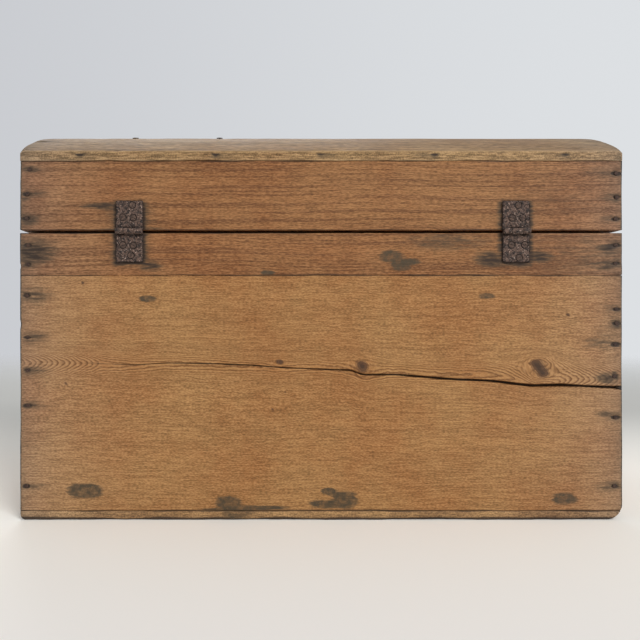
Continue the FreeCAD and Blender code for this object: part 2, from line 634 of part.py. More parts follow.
def handle(name, sign):
    pivot_x = side(sign, PIVOT_X)
    plate = box(f"handle_sheet_{name}", mirrored(sign, END, PLATE_OUTER),
                ("-handle_plate_length / 2", "handle_plate_length / 2"),
                ("handle_height - handle_plate_height / 2", "handle_height + handle_plate_height / 2"))
    pieces = [plate]
    bores = []
    for across in (1, -1):
        ear = mirrored(across, "ear_inner_place", EAR_OUTER)
        word = f"{name}_{'back' if across > 0 else 'front'}"
        pieces.append(box(f"ear_root_{word}", mirrored(sign, PLATE_OUTER, PIVOT_X), ear,
                          ("handle_height - ear_radius", "handle_height + ear_radius")))
        pieces.append(cylinder(f"ear_eye_{word}", "ear_radius", ear[0], ear[1], x=pivot_x,
                               z="handle_height", along=Y_AXIS))
        bores.append(cylinder(f"ear_bore_{word}", "bail_rod_radius + bail_clearance",
                              f"{ear[0]} - overrun / 10", f"{ear[1]} + overrun / 10", x=pivot_x,
                              z="handle_height", along=Y_AXIS))
    blank = fuse(f"handle_plate_blank_{name}", pieces)
    keep(cut(f"handle_plate_{name}", blank, bores + [handle_screw_holes]), f"handle_plate_{name}")

    turn_y = "(bail_half_width - bail_bend_radius)"
    low_z = "(handle_height - bail_drop)"
    rods = [cylinder(f"bail_grip_{name}", "bail_rod_radius", f"-{turn_y}", turn_y, x=pivot_x, z=low_z,
                     along=Y_AXIS)]
    for across in (1, -1):
        word = f"{name}_{'back' if across > 0 else 'front'}"
        tip = "(ear_inner_place - bail_pin_overhang)"
        start, end = mirrored(across, tip, turn_y)
        rods.append(cylinder(f"bail_pin_{word}", "bail_rod_radius", start, end, x=pivot_x,
                             z="handle_height", along=Y_AXIS))
        rods.append(cylinder(f"bail_arm_{word}", "bail_rod_radius", f"{low_z} + bail_bend_radius",
                             "handle_height - bail_bend_radius", x=pivot_x,
                             y=f"{across} * bail_half_width"))
        for height, rise in (("handle_height - bail_bend_radius", 1), (f"{low_z} + bail_bend_radius", -1)):
            quarter = {(1, -1): 0, (1, 1): 90, (-1, 1): 180, (-1, -1): 270}[across, rise]
            rods.append(bail_bend(f"bail_bend_{word}_{'top' if rise > 0 else 'foot'}",
                                  f"{across} * {turn_y}", height, quarter, pivot_x))
    keep(fuse(f"handle_bail_{name}", rods), f"handle_bail_{name}")


handle("right", 1)
handle("left", -1)

# Back and front of the case: two long boards each, butted over the ends.

walls = {
    "back_board_lower": ((BACK_INNER, BACK), ("bottom_thickness", BACK_SEAM),
                         [back_nail_holes, bottom_nail_holes, case_screw_holes]),
    "back_board_upper": ((BACK_INNER, BACK), (BACK_SEAM, BACK_RIM),
                         [back_nail_holes, case_screw_holes]),
    "front_board_lower": ((FRONT, PLATE_FACE), ("bottom_thickness", FRONT_SEAM),
                          [front_nail_holes, bottom_nail_holes]),
    "front_board_upper": ((FRONT, PLATE_FACE), (FRONT_SEAM, LID_RIM),
                          [front_nail_holes, shell_room, plate_room, selvedge_room, keyhole_cut,
                           lock_screw_holes, escutcheon_pin_holes]),
}
for label, (depth, height, tools) in walls.items():
    keep(cut(label, box(f"{label}_blank", (f"-{END}", END), depth, height), tools), label)

# Ends of the case: two boards each between the front and the back. The upper ones are planed
# down towards the back, so that the lid meets the rim at the front and stands off it at the back.

REAR_END_RIM = (f"({LID_RIM} - hinge_gap * (case_depth - 2 * wall_thickness)"
                " / (case_depth - wall_thickness))")
for name, sign in (("right", 1), ("left", -1)):
    span = mirrored(sign, END_INNER, END)
    lower = box(f"{name}_end_lower_blank", span, (f"-{BACK_INNER}", BACK_INNER),
                ("bottom_thickness", END_SEAM))
    keep(cut(f"{name}_end_board_lower", lower, [back_nail_holes, front_nail_holes, bottom_nail_holes]),
         f"{name}_end_board_lower")
    upper = padded(f"{name}_end_upper_blank", "YZ_Plane", [
        (f"-{BACK_INNER}", END_SEAM), (BACK_INNER, END_SEAM),
        (BACK_INNER, REAR_END_RIM), (f"-{BACK_INNER}", LID_RIM)], "wall_thickness")
    place(upper, x=span[0])
    keep(cut(f"{name}_end_board_upper", upper, [back_nail_holes, front_nail_holes, handle_screw_holes]),
         f"{name}_end_board_upper")

# The dome's nails: brads through the outer planks' long edges into the lid's front and back, nails
# through the planks' ends, and old tacks in the top. A share is of half the length or half the arc.

ARC = f"asin({BACK} / {DOME_RADIUS})"
EDGE_BRAD_SHARES = (-0.81, -0.375, 0.0, 0.35, 0.80)
BRAD_TILT = 58
BRAD_HEIGHT_SHARE = 0.62
EDGE_HEIGHT = f"({LID_WALL_TOP} + {BRAD_HEIGHT_SHARE} * ({ARRIS} - {LID_WALL_TOP}))"
brad_places = []
for share in EDGE_BRAD_SHARES:
    sunk = f"({BACK} - brad_head_radius)"
    brad_places.append((f"{share} * {END}", sunk, EDGE_HEIGHT, (X_AXIS, str(BRAD_TILT - 90))))
    brad_places.append((f"{-share} * {END}", f"-{sunk}", EDGE_HEIGHT, (X_AXIS, str(90 - BRAD_TILT))))
brad_holes = fasteners("lid_plank_edge_brads", brad_kind, brad_places)


def on_dome(x, arc_share):
    """A place on the dome's top, part of the way along the arc from its crest, facing outwards."""
    angle = f"{arc_share} * {ARC}"
    return (x, f"{DOME_RADIUS} * sin({angle})", f"{DOME_CENTRE} + {DOME_RADIUS} * cos({angle})",
            (X_AXIS, f"-({angle})"))


PLANK_NAIL_SHARES = (-0.78, -0.60, -0.40, -0.11, 0.12, 0.38, 0.59, 0.77)
plank_nail_places = [
    on_dome(side(sign, f"{END} - wall_thickness / 2"), sign * share)
    for sign in (1, -1) for share in PLANK_NAIL_SHARES]
plank_nail_holes = fasteners("lid_plank_nails", plank_nail_kind, plank_nail_places)

TACK_SHARES = ((0.68, 0.53), (0.365, 0.52))
tack_holes = fasteners("lid_top_tacks", tack_kind,
                       [on_dome(f"{along} * {END}", around) for along, around in TACK_SHARES])

# The lid: front, back and two arched ends, with the planks laid along the arch over all four.

arch = cylinder("arch", DOME_INNER, f"-{END} - overrun", f"{END} + overrun", z=DOME_CENTRE, along=X_AXIS)
CREST_INSIDE = f"({DOME_CENTRE} + {DOME_INNER} + overrun)"
lid_walls = {
    "lid_back_board": ((f"-{END}", END), (BACK_INNER, BACK),
                       [lid_nail_holes, brad_holes, lid_screw_holes]),
    "lid_front_board": ((f"-{END}", END), (FRONT, PLATE_FACE),
                        [lid_nail_holes, brad_holes, link_plate_room, link_screw_holes]),
    "lid_right_end": (mirrored(1, END_INNER, END), (PLATE_FACE, BACK_INNER),
                      [lid_nail_holes, plank_nail_holes]),
    "lid_left_end": (mirrored(-1, END_INNER, END), (PLATE_FACE, BACK_INNER),
                     [lid_nail_holes, plank_nail_holes]),
}
for label, (length, depth, tools) in lid_walls.items():
    blank = common(f"{label}_blank", box(f"{label}_board", length, depth, (LID_RIM, CREST_INSIDE)), arch)
    keep(cut(label, blank, tools), label)


def arc_point(radius, share):
    """A point of the dome's section on a joint between two planks."""
    return (f"{radius} * sin({share} * {ARC})", f"{DOME_CENTRE} + {radius} * cos({share} * {ARC})")


for number in range(PLANKS):
    label = f"lid_plank_{number + 1}"
    front_share, back_share = 2 * number / PLANKS - 1, 2 * (number + 1) / PLANKS - 1
    upper_front = (f"-{BACK}", ARRIS) if number == 0 else arc_point(DOME_RADIUS, front_share)
    lower_front = (f"-{BACK}", LID_WALL_TOP) if number == 0 else arc_point(DOME_INNER, front_share)
    last = number == PLANKS - 1
    upper_back = (BACK, ARRIS) if last else arc_point(DOME_RADIUS, back_share)
    lower_back = (BACK, LID_WALL_TOP) if last else arc_point(DOME_INNER, back_share)
    plank = padded(f"{label}_blank", "YZ_Plane", [upper_front, upper_back, lower_back, lower_front],
                   "case_length", {0: (DOME_RADIUS, DOME_CENTRE), 2: (DOME_INNER, DOME_CENTRE)})
    place(plank, x=f"-{END}")
    keep(cut(label, plank, [plank_nail_holes, brad_holes, tack_holes]), label)

# Every object is checked before the pieces are written.

doc.recompute()
for item in doc.Objects:
    if {"Invalid", "Error"} & set(item.State):
        raise RuntimeError(f"{item.Label} failed: {item.State}")
for item in subparts:
    if item.Shape.isNull() or not item.Shape.isValid():
        raise RuntimeError(f"{item.Label} has no valid shape")

os.makedirs("parts", exist_ok=True)
for item in subparts:
    item.Shape.exportStep(f"parts/{item.Label}.step")
print(f"{len(subparts)} pieces written")
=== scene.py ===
import math

import bpy
import numpy as np
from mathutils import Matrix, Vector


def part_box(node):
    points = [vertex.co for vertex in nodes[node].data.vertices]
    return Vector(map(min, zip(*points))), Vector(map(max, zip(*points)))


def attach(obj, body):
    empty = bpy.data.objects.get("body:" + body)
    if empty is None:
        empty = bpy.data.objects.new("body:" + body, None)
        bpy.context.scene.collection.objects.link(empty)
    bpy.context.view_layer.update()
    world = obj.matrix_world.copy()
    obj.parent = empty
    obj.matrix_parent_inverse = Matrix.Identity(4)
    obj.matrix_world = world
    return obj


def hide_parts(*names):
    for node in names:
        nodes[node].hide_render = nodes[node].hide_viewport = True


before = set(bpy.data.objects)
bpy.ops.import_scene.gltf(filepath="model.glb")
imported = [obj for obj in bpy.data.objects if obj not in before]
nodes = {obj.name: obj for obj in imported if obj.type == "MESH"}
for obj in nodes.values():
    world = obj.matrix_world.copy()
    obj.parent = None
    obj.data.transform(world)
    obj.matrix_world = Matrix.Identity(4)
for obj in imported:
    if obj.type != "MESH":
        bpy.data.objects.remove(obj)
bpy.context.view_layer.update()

# Nails, brads and tacks. Each is drawn iron, driven through one board into the next, and its place
# and direction are those of the solid it stands for.


def loose_parts(node):
    """The points of each separate solid of a CAD node: every point takes the lowest number that
    reaches it along the edges."""
    mesh = nodes[node].data
    points = np.zeros(len(mesh.vertices) * 3)
    mesh.vertices.foreach_get("co", points)
    points, same = np.unique(points.reshape(-1, 3).round(6), axis=0, return_inverse=True)
    edges = np.zeros(len(mesh.edges) * 2, int)
    mesh.edges.foreach_get("vertices", edges)
    ends = same.ravel()[edges.reshape(-1, 2)].T
    number = np.arange(len(points))
    while True:
        lowest = number.copy()
        least = number[ends].min(0)
        np.minimum.at(lowest, ends[0], least)
        np.minimum.at(lowest, ends[1], least)
        if (lowest == number).all():
            return [points[number == n] for n in np.unique(number)]
        number = lowest


def heads(*names):
    """Middle of each head and the way it faces, from the solids of these nodes: the axis is the
    longest way through the solid, and the head is at the end where it is widest."""
    places, ways = [], []
    for points in (part for name in names for part in loose_parts(name)):
        middle = points.mean(0)
        axis = np.linalg.svd(points - middle, full_matrices=False)[2][0]
        reach = (points - middle) @ axis
        width = np.linalg.norm(points - middle - reach[:, None] * axis, axis=1)
        if reach[width.argmax()] < 0:
            axis, reach = -axis, -reach
        foot = points[reach < reach.min() + 0.0002].mean(0)
        places.append(foot + axis * (reach.max() - reach.min()))
        ways.append(axis)
    return np.array(places), np.array(ways)


NAIL_NODES = ("back_corner_nails", "front_corner_nails", "bottom_nails", "lid_corner_nails",
              "lid_plank_edge_brads", "lid_plank_nails", "lid_top_tacks")
nail_heads = {name: heads(name) for name in NAIL_NODES}
NAIL_SUNK = 0.0005
HEAD_RADIUS = 0.0023


def shell(*lines):
    """The skin of a box: a grid of points on each of its six faces, at the given places along each
    side. Faces share the points of their edges, and turn outwards."""
    counts = [len(line) for line in lines]
    number = np.arange(np.prod(counts)).reshape(counts)
    quads = []
    for axis in range(3):
        for last in (0, 1):
            face = number.take(-last, axis=axis)
            if last == (axis == 1):
                face = face.T
            quads.append(np.stack([face[:-1, :-1], face[1:, :-1], face[1:, 1:], face[:-1, 1:]], -1))
    quads = np.concatenate([q.reshape(-1, 4) for q in quads])
    used, quads = np.unique(quads, return_inverse=True)
    grid = np.stack(np.unravel_index(used, counts), 1)
    points = np.stack([np.asarray(line)[grid[:, i]] for i, line in enumerate(lines)], 1)
    return points, quads.reshape(-1, 4)


def unevenness(points, length, seed):
    """Smooth random values, mostly from -1 to 1: the sum of twelve sine waves that run in random
    directions, each about length long."""
    draw = np.random.default_rng(seed)
    way = draw.normal(size=(12, 3))
    way *= (draw.uniform(0.6, 1.7, 12) / np.linalg.norm(way, axis=1))[:, None]
    waves = points @ way.T * (2 * math.pi / length) + draw.uniform(0, 2 * math.pi, 12)
    return np.sin(waves).sum(1) / 3.5


def put(name, data):
    """A new object of a mesh, a lamp or a camera, in the scene."""
    made = bpy.data.objects.new(name, data)
    bpy.context.scene.collection.objects.link(made)
    return made


def with_modifiers(piece):
    """The mesh of a piece once its modifiers have worked on it."""
    return bpy.data.meshes.new_from_object(piece.evaluated_get(bpy.context.evaluated_depsgraph_get()))


def make(name, points, faces, body, slot, material, *replaced, **fields):
    """A smooth mesh from arrays of points and faces, with a number at each point for each field. It
    rides on a body, takes the given material, and stands for the nodes replaced. The slot is not used."""
    mesh = bpy.data.meshes.new(name)
    mesh.from_pydata(points, [], faces)
    for key, values in fields.items():
        kind = "FLOAT" if values.ndim == 1 else "FLOAT_VECTOR"
        layer = mesh.attributes.new(key, kind, "POINT")
        layer.data.foreach_set("value" if values.ndim == 1 else "vector", values.astype(np.float32).ravel())
    mesh.shade_smooth()
    mesh.materials.append(material)
    made = put(name, mesh)
    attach(made, body)
    if replaced:
        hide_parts(*replaced)
    return made


def add(tree, kind, sockets=None, **settings):
    """A shader node with its settings, and its inputs set to values or linked to other nodes."""
    made = tree.nodes.new("ShaderNode" + kind)
    for key, setting in settings.items():
        setattr(made, key, setting)
    for key, given in (sockets or {}).items():
        if isinstance(given, bpy.types.NodeSocket):
            tree.links.new(given, made.inputs[key])
        else:
            made.inputs[key].default_value = given
    return made


def tree_of(given):
    """The node tree that the sockets among some values are in."""
    return next(one.id_data for one in given if isinstance(one, bpy.types.NodeSocket))


def calc(operation, *given, clamp=False):
    """The result of one step of arithmetic between numbers and sockets."""
    made = add(tree_of(given), "Math", dict(enumerate(given)), operation=operation, use_clamp=clamp)
    return made.outputs[0]


def vector(*given):
    """A vector of three numbers or sockets."""
    return add(tree_of(given), "CombineXYZ", dict(enumerate(given))).outputs[0]


def scaled(given, by):
    """A vector or a colour times a number or a socket."""
    return add(given.id_data, "VectorMath", {0: given, "Scale": by}, operation="SCALE").outputs[0]


def between(given, low, high):
    """0 where given is below low, 1 where it is above high, and a smooth rise between them."""
    made = add(given.id_data, "MapRange", {"Value": given, "From Min": low, "From Max": high},
               interpolation_type="SMOOTHSTEP")
    return made.outputs[0]


def blend(share, first, second):
    """Colours mixed by a share from 0 to 1."""
    return add(share.id_data, "Mix", {"Factor": share, 6: first, 7: second}, data_type="RGBA").outputs[2]


def stain(tone, mask, strength, colour):
    """A tone turned towards a colour, by a mask times a strength."""
    return blend(calc("MULTIPLY", mask, strength), tone, colour)


def speckle(at, scale, detail=2.0, rough=0.5, dimensions="3D"):
    """Noise from 0 to 1 at a vector, scale grains to the metre."""
    made = add(at.id_data, "TexNoise", {"Vector": at, "Scale": scale, "Detail": detail, "Roughness": rough},
               noise_dimensions=dimensions)
    return made.outputs[0]


def effect(name, takes, gives):
    """An empty shader node group with named inputs and outputs. Returns its tree, its inputs' sockets
    and the node that its outputs are linked to."""
    tree = bpy.data.node_groups.new(name, "ShaderNodeTree")
    for key, kind in takes.items():
        tree.interface.new_socket(key, in_out="INPUT", socket_type="NodeSocket" + kind)
    for key, kind in gives.items():
        tree.interface.new_socket(key, in_out="OUTPUT", socket_type="NodeSocket" + kind)
    return tree, tree.nodes.new("NodeGroupInput").outputs, tree.nodes.new("NodeGroupOutput")


def finish(out, **sockets):
    """Links what a group puts out."""
    for key, given in sockets.items():
        out.id_data.links.new(given, out.inputs[key])


def use(tree, group, **sockets):
    """Places a group in a material. A space in the name of an input is written as a low line."""
    given = {key.replace("_", " "): value for key, value in sockets.items()}
    return add(tree, "Group", given, node_tree=group).outputs


def paint(red, green, blue):
    """A colour written in 0 to 255, as a screen shows it, in the linear light that shaders use."""
    share = np.array([red, green, blue]) / 255
    linear = np.where(share > 0.04045, ((share + 0.055) / 1.055) ** 2.4, share / 12.92)
    return (*linear.tolist(), 1.0)


def empty_material(name):
    """A material with nothing in it but its output and one Principled shader."""
    made = bpy.data.materials.new(name)
    made.use_nodes = True
    tree = made.node_tree
    tree.nodes.clear()
    shader = add(tree, "BsdfPrincipled")
    tree.links.new(shader.outputs[0], tree.nodes.new("ShaderNodeOutputMaterial").inputs[0])
    return made, tree, shader


def coat(shader, color, roughness, height, strength, distance):
    """Links a colour, a roughness and a relief to a shader. The relief is a height from 0 to 1, how
    strongly it shows, and what it measures from 0 to 1."""
    tree = shader.id_data
    lump = add(tree, "Bump", {"Height": height, "Strength": strength, "Distance": distance}).outputs[0]
    for key, given in (("Base Color", color), ("Roughness", roughness), ("Normal", lump)):
        tree.links.new(given, shader.inputs[key])


rust, rust_in, rust_out = effect(
    "rust", {"Grain": "Float", "Pitted": "Float", "Dark": "Color", "Brown": "Color", "Bright": "Color"},
    {"Color": "Color", "Height": "Float", "Roughness": "Float"})
place = scaled(add(rust, "TexCoord").outputs["Object"], rust_in["Grain"])
patches = speckle(place, 230, 3, 0.65)
pits = speckle(place, 420, 4, 0.65)
crust = speckle(place, 900, 2, 0.6)
tone = blend(between(patches, 0.36, 0.56), rust_in["Dark"], rust_in["Brown"])
tone = blend(between(crust, 0.60, 0.72), tone, rust_in["Bright"])
tone = blend(between(pits, 0.50, 0.36), tone, rust_in["Dark"])
# Painted shade: the tone is darkened by the attribute, in recesses, on sheet sides and in hollows.
tone = stain(tone, rust_in["Pitted"], 0.8, scaled(rust_in["Dark"], 0.5))
finish(rust_out, Color=tone, Height=calc("MULTIPLY_ADD", pits, 0.7, calc("MULTIPLY", crust, 0.3)),
       Roughness=calc("MULTIPLY_ADD", patches, 0.2, 0.68))


def rusty(name, grain, dark, brown, bright, metal, bump):
    """Rusted iron: patches of two browns, pits, and specks of brighter rust, darkened further where the
    piece's own attribute marks painted shade in recesses and dark rust in hollows.
    """
    made, tree, shader = empty_material(name)
    pitted = add(tree, "Attribute", None, attribute_name="pitted").outputs["Fac"]
    given = use(tree, rust, Grain=grain, Pitted=pitted, Dark=dark, Brown=brown, Bright=bright)
    coat(shader, given["Color"], given["Roughness"], given["Height"], 0.8, bump)
    shader.inputs["Metallic"].default_value = metal
    return made


nail_rust = rusty("nail_rust", 1.6, paint(48, 35, 30), paint(78, 57, 46), paint(112, 82, 64), 0.2, 0.0004)


def studs(name, head, body, slot, material, radius, thickness, shank, length, slit=0.0, sunk=0.0, seed=1,
          dome=0.15):
    """Nails or screws that stand for a node: a disc from a square grid, by the rule that x becomes
    x times the root of one less half y squared. Its width is the head's down to the underside, then
    the shank's, and a slit runs across it."""
    places, ways = head
    across = np.unique(np.concatenate([np.linspace(-1, 1, 11), [-0.16, -0.10, 0.10, 0.16]]))
    down = np.array([-1, -0.94, -0.55, -0.2, -0.1, -0.03, -0.0001, 0.0])
    points, faces = shell(across, across, down)
    x, y, z = points.T
    flat_x, flat_y = x * np.sqrt(1 - y * y / 2), y * np.sqrt(1 - x * x / 2)
    depth = np.array([-length, -length * 0.93, -length * 0.5, -thickness * 1.6, -thickness * 1.02,
                      -thickness, -thickness * 0.25, 0.0])[np.searchsorted(down, z - 1e-9)]
    wide = np.array([0.1 * shank, shank, shank, shank, shank, radius, radius, 0.94 * radius])
    wide = wide[np.searchsorted(down, z - 1e-9)]
    out = np.hypot(flat_x, flat_y)
    depth = depth - (z == 0) * thickness * dome * out ** 2
    depth = depth - (z == 0) * (np.abs(y) < 0.12) * (slit * 0.9)
    one = np.stack([flat_x * wide, flat_y * wide, depth], 1)
    draw = np.random.default_rng(seed)
    turn = draw.uniform(0, 2 * math.pi, len(places))
    side = np.cross(ways, np.where(np.abs(ways[:, 2:]) > 0.9, [[1.0, 0, 0]], [[0, 0, 1.0]]))
    side /= np.linalg.norm(side, axis=1)[:, None]
    other = np.cross(ways, side)
    first = side * np.cos(turn)[:, None] + other * np.sin(turn)[:, None]
    second = np.cross(ways, first)
    frames = np.stack([first, second, ways], 1)
    every = np.einsum("pi,nij->npj", one, frames) + (places - ways * sunk)[:, None, :]
    every = every.reshape(-1, 3)
    bumps = unevenness(every, 0.004, seed) * 0.00015
    every -= np.repeat(ways, len(one), 0) * np.abs(bumps)[:, None]
    faces = (faces[None] + np.arange(len(places))[:, None, None] * len(one)).reshape(-1, 4)
    return make(f"iron_{name}", every, faces, body, slot, material, name)


for name in NAIL_NODES:
    kind = dict(radius=HEAD_RADIUS, thickness=0.0012, shank=0.0015, length=0.045, sunk=NAIL_SUNK,
                seed=len(name))
    if name == "lid_top_tacks":
        kind = dict(radius=0.0040, thickness=0.0014, shank=0.0010, length=0.009, dome=0.5, seed=7)
    elif name == "lid_plank_edge_brads":
        kind.update(thickness=0.001, shank=0.0012, length=0.030, seed=5)
    elif name == "lid_plank_nails":
        kind.update(length=0.034)
    body = "lid" if name.startswith("lid") else "case"
    studs(name, nail_heads[name], body, "nail_iron", nail_rust, **kind)

# Bottom: three pine boards under the walls, nailed on from below. Their long edge shows under the
# back board, and the trunk's lower corners are worn round through them.


def lines(low, high, step, near=()):
    """Places along a side: every step, closer together at both ends and round each place in near."""
    ends = np.array([0, 0.4, 0.8, 1.2, 1.6, 2.4, 3.6, 5.6, 8.4, 12]) / 1000
    around = np.array([-6, -4, -3, -2, -1, 0, 1, 2, 3, 4, 6]) / 1000
    even = np.linspace(low, high, max(2, round((high - low) / step) + 1))
    near = np.asarray(near, float).reshape(-1, 1)
    found = np.concatenate([even, low + ends, high - ends, (near + around).ravel()])
    count = round((high - low) / 0.0004)
    share = np.unique(np.round(np.clip((found - low) / (high - low), 0, 1) * count)) / count
    return low + share * (high - low)


HALF_LENGTH = 0.3575
HALF_DEPTH = 0.225
CORNER_RADII = {1: 0.010, -1: 0.019}
UPRIGHT_RADIUS = 0.0022


def draw_in(points, corner, radius):
    """Draws the points outside a quarter circle in a corner in to it. A corner is two faces, each with
    its axis, the way it faces and its distance from the middle."""
    past = [points[:, axis] * way - (face - radius) for axis, way, face in corner]
    far = np.hypot(*past)
    out = (past[0] > 0) & (past[1] > 0) & (far > radius)
    for (axis, way, face), off in zip(corner, past):
        points[out, axis] = (way * (face - radius + off * radius / far))[out]


def worn_corners(points):
    """The trunk's outer corners, rubbed round: the lower ones at its two ends, and the upright ones."""
    points = points.copy()
    for way, radius in CORNER_RADII.items():
        draw_in(points, ((0, way, HALF_LENGTH), (2, -1, 0)),
                radius * (1 + 0.12 * unevenness(points, 0.2, 3)))
    for way_x in (1, -1):
        for way_y in (1, -1):
            draw_in(points, ((0, way_x, HALF_LENGTH), (1, way_y, HALF_DEPTH)),
                    UPRIGHT_RADIUS * (1 + 0.4 * unevenness(points, 0.09, 5)))
    return points


all_nails = [np.concatenate([pair[i] for pair in nail_heads.values()]) for i in (0, 1)]


def field(places, points, axes):
    """How far inside the nearest oval each point lies: 1 at an oval's middle, 0 on its line, down to
    -1 outside. An oval is its two places and its two half lengths. The value is one less the sum, to
    the power 0.4, of the point's two distances in half lengths, each to the power 2.5."""
    best = np.full(len(points), -1.0)
    for along, across, long, wide in places:
        off = np.abs([(points[:, axes[0]] - along) / long, (points[:, axes[1]] - across) / wide])
        best = np.maximum(best, 1 - (off ** 2.5).sum(0) ** 0.4)
    return best


# A board's small sizes in metres: how far outside its box a nail's head still counts as its own, the
# steps of its grid through it, and how deep or wide each kind of wear, dirt and painted shade is.
HEAD_SLACK = 0.0008
THIN_STEP = 0.0044
PIT_DEPTH = 0.0014
CHIP_DEPTH = 0.0018
STAIN_DEPTH = 0.0015
ARRIS_WIDTH = 0.0016
SEAM_WIDTH = 0.0014
PRINT_WIDTH = 0.0044
FOOT_SHADE_HEIGHT = 0.0023
BUTT_LENGTH = 0.012


def board(name, body, slot, material, pith, seed, axes=(0, 2, 1), step=0.006, worn=0.0008, shape=None,
          unshape=None, carve=None, extra=((), (), ()), marks=(), knots=(), smudges=(), size=None, inner=0,
          flame=None, sunk=0.0, rubbed=False, prints=()):
    """An old board in the box of its node. Its axes are along it, across it and through it, and inner
    is the way that its inside faces. Its edges are rounded by drawing each point in to a distance r
    from the box less r, where r varies; dents, chips and nail pits go inwards. The growth rings are
    the distance from the tree's pith, a line along the board, bent round each knot. Knots and marks
    are ovals. A smudge is an oval and a strength, which falls off as e to minus the square of the
    distance from its middle in half lengths. A print is a plate's low and high places along and
    across, with rust stain round it and a painted contact shadow along its outline. The seams are
    darkened by dirt and by painted shade of the gaps, and the lowest few millimetres by a painted
    contact shadow."""
    low, high = np.array(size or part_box(name))
    places, ways = all_nails
    straight = unshape(places) if unshape else places
    mine = ((straight > low - HEAD_SLACK) & (straight < high + HEAD_SLACK)).all(1)
    places, ways, straight = places[mine], ways[mine], straight[mine]
    grid = [lines(low[i], high[i], step if high[i] - low[i] > 0.03 else THIN_STEP,
                  [*(straight[np.abs(ways[:, i]) < 0.5, i]), *extra[i]]) for i in range(3)]
    points, faces = shell(*grid)
    away = np.sort(np.minimum(points - low, high - points), 1)[:, 1]
    wear = 1.1 + 0.75 * unevenness(points, 0.045, seed) + 0.5 * unevenness(points, 0.16, seed + 1)
    radius = np.clip(worn * wear, 0.0003, 0.0042)[:, None]
    core = np.clip(points, low + radius, high - radius)
    outward = (points - core) / np.linalg.norm(points - core, axis=1)[:, None]
    flat = points
    points = core + outward * radius
    hollow = (0.00012 * (1 + unevenness(points, 0.05, seed + 2))
              + 0.00018 * (1 + unevenness(points, 0.3, seed + 3)))
    chips = np.clip(unevenness(points, 0.022, seed + 4) - 1.15, 0, 1) * np.exp(-away / 0.0025) * CHIP_DEPTH
    hollow = np.clip(hollow, 0, 1) + chips
    if carve:
        hollow = hollow + carve(flat)
    hollow = hollow + sunk * (outward[:, axes[2]] * inner < -0.5)
    hollow = hollow * np.where(np.abs(outward[:, axes[1]]) > 0.95, 0.25, 1)
    points = points - outward * hollow[:, None]
    along, across, depth = axes
    run, wide, deep = flat[:, along], flat[:, across], flat[:, depth]
    bend = np.zeros(len(flat))
    for knot in knots:
        near = np.exp(-((run - knot[0]) / (knot[2] * 3.2)) ** 2 - ((wide - knot[1]) / (knot[3] * 2.6)) ** 2)
        bend -= 0.85 * (wide - knot[1]) * near
    bend += 0.0014 * unevenness(np.stack([run, wide * 0.25, deep * 0.25], 1), 0.22, seed + 6)
    if callable(pith):
        ring = pith(run, wide + bend, deep)
    else:
        ring = np.hypot(wide + bend - pith[0], deep - pith[1])
    halo = np.zeros(len(flat))
    if shape:
        points = shape(points)
    draw = np.random.default_rng(seed)
    for centre, way in zip(places, ways):
        off = points - centre
        skin = np.abs(off @ way) < 0.003
        aside = np.linalg.norm(np.delete(off - (off @ way)[:, None] * way, along, 1), axis=1)
        pit = np.hypot(off[:, along] / draw.uniform(0.0040, 0.0068), aside / draw.uniform(0.0017, 0.0029))
        points -= way * (skin * PIT_DEPTH * np.exp(-pit ** 4))[:, None]
        inward = off[:, along] * np.sign(low[along] + high[along] - 2 * centre[along])
        trail = np.where(inward > 0, inward / draw.uniform(0.012, 0.032), inward / 0.007)
        haze = draw.uniform(0.40, 0.64) * np.exp(
            -np.hypot(trail, aside / draw.uniform(0.0055, 0.0095)) ** 1.6)
        halo = np.maximum(halo, skin * np.maximum(haze, 1.3 * np.exp(-pit ** 3)))
    under = high[depth] - deep if inner < 0 else deep - low[depth]
    for along_at, across_at, long, wide_by, strength in smudges:
        off = np.hypot((run - along_at) / long, (wide - across_at) / wide_by)
        halo = np.maximum(halo, strength * np.exp(-off ** 2 - under / STAIN_DEPTH))
    # Round each hinge plate: rust stain, with a painted contact shadow along the plate's outline.
    for x_low, x_high, z_low, z_high in prints:
        past = np.hypot(np.maximum(0, np.maximum(x_low - run, run - x_high)),
                        np.maximum(0, np.maximum(z_low - wide, wide - z_high)))
        halo = np.maximum(halo, 1.2 * np.exp(-past / PRINT_WIDTH - under / STAIN_DEPTH))
    points = worn_corners(points)
    ends, sides, skins = np.minimum(flat - low, high - flat)[:, axes].T
    corner = np.maximum(ends, np.minimum(sides, skins))
    # Darker along the seams: dirt in the joints and painted shade of the gaps between boards.
    seam = np.exp(-np.maximum(sides, skins) / SEAM_WIDTH)
    seam *= 0.85 + 0.3 * unevenness(flat, 0.08, seed + 7)
    if rubbed:
        seam *= np.where(under < 0.006, 0.25, 0.8)
    # Painted contact shadow: the lowest few millimetres of the trunk are darkened.
    foot = 2.1 * np.exp(-points[:, 2] / FOOT_SHADE_HEIGHT) * (1 + 0.3 * unevenness(flat, 0.06, seed + 8))
    more = {}
    if flame:
        near_heart, shows = flame(run, wide + bend, deep)
        more = {"pointed": np.stack([near_heart, run, deep], 1), "flamed": shows}
    arris = 0.55 * np.exp(-away / ARRIS_WIDTH) if rubbed else np.exp(-corner / ARRIS_WIDTH)
    inside = (outward[:, depth] * inner > 0.5).astype(float)
    marked = np.where(inside > 0.5, -1, field(marks, flat, (along, across)))
    return make(f"pine_{name}", points, faces, body, slot, material, name,
                grain=np.stack([ring + 0.37 * seed, run, deep], 1),
                fibre=np.stack([run, wide + bend, deep], 1), arris=arris, seam=np.maximum(seam, foot),
                butt=np.exp(-ends / BUTT_LENGTH), halo=halo * (1 - inside), marks=marked,
                knot=field(knots, flat, (along, across)), inside=inside,
                sawn=(np.abs(outward[:, across]) > 0.7).astype(float), **more)


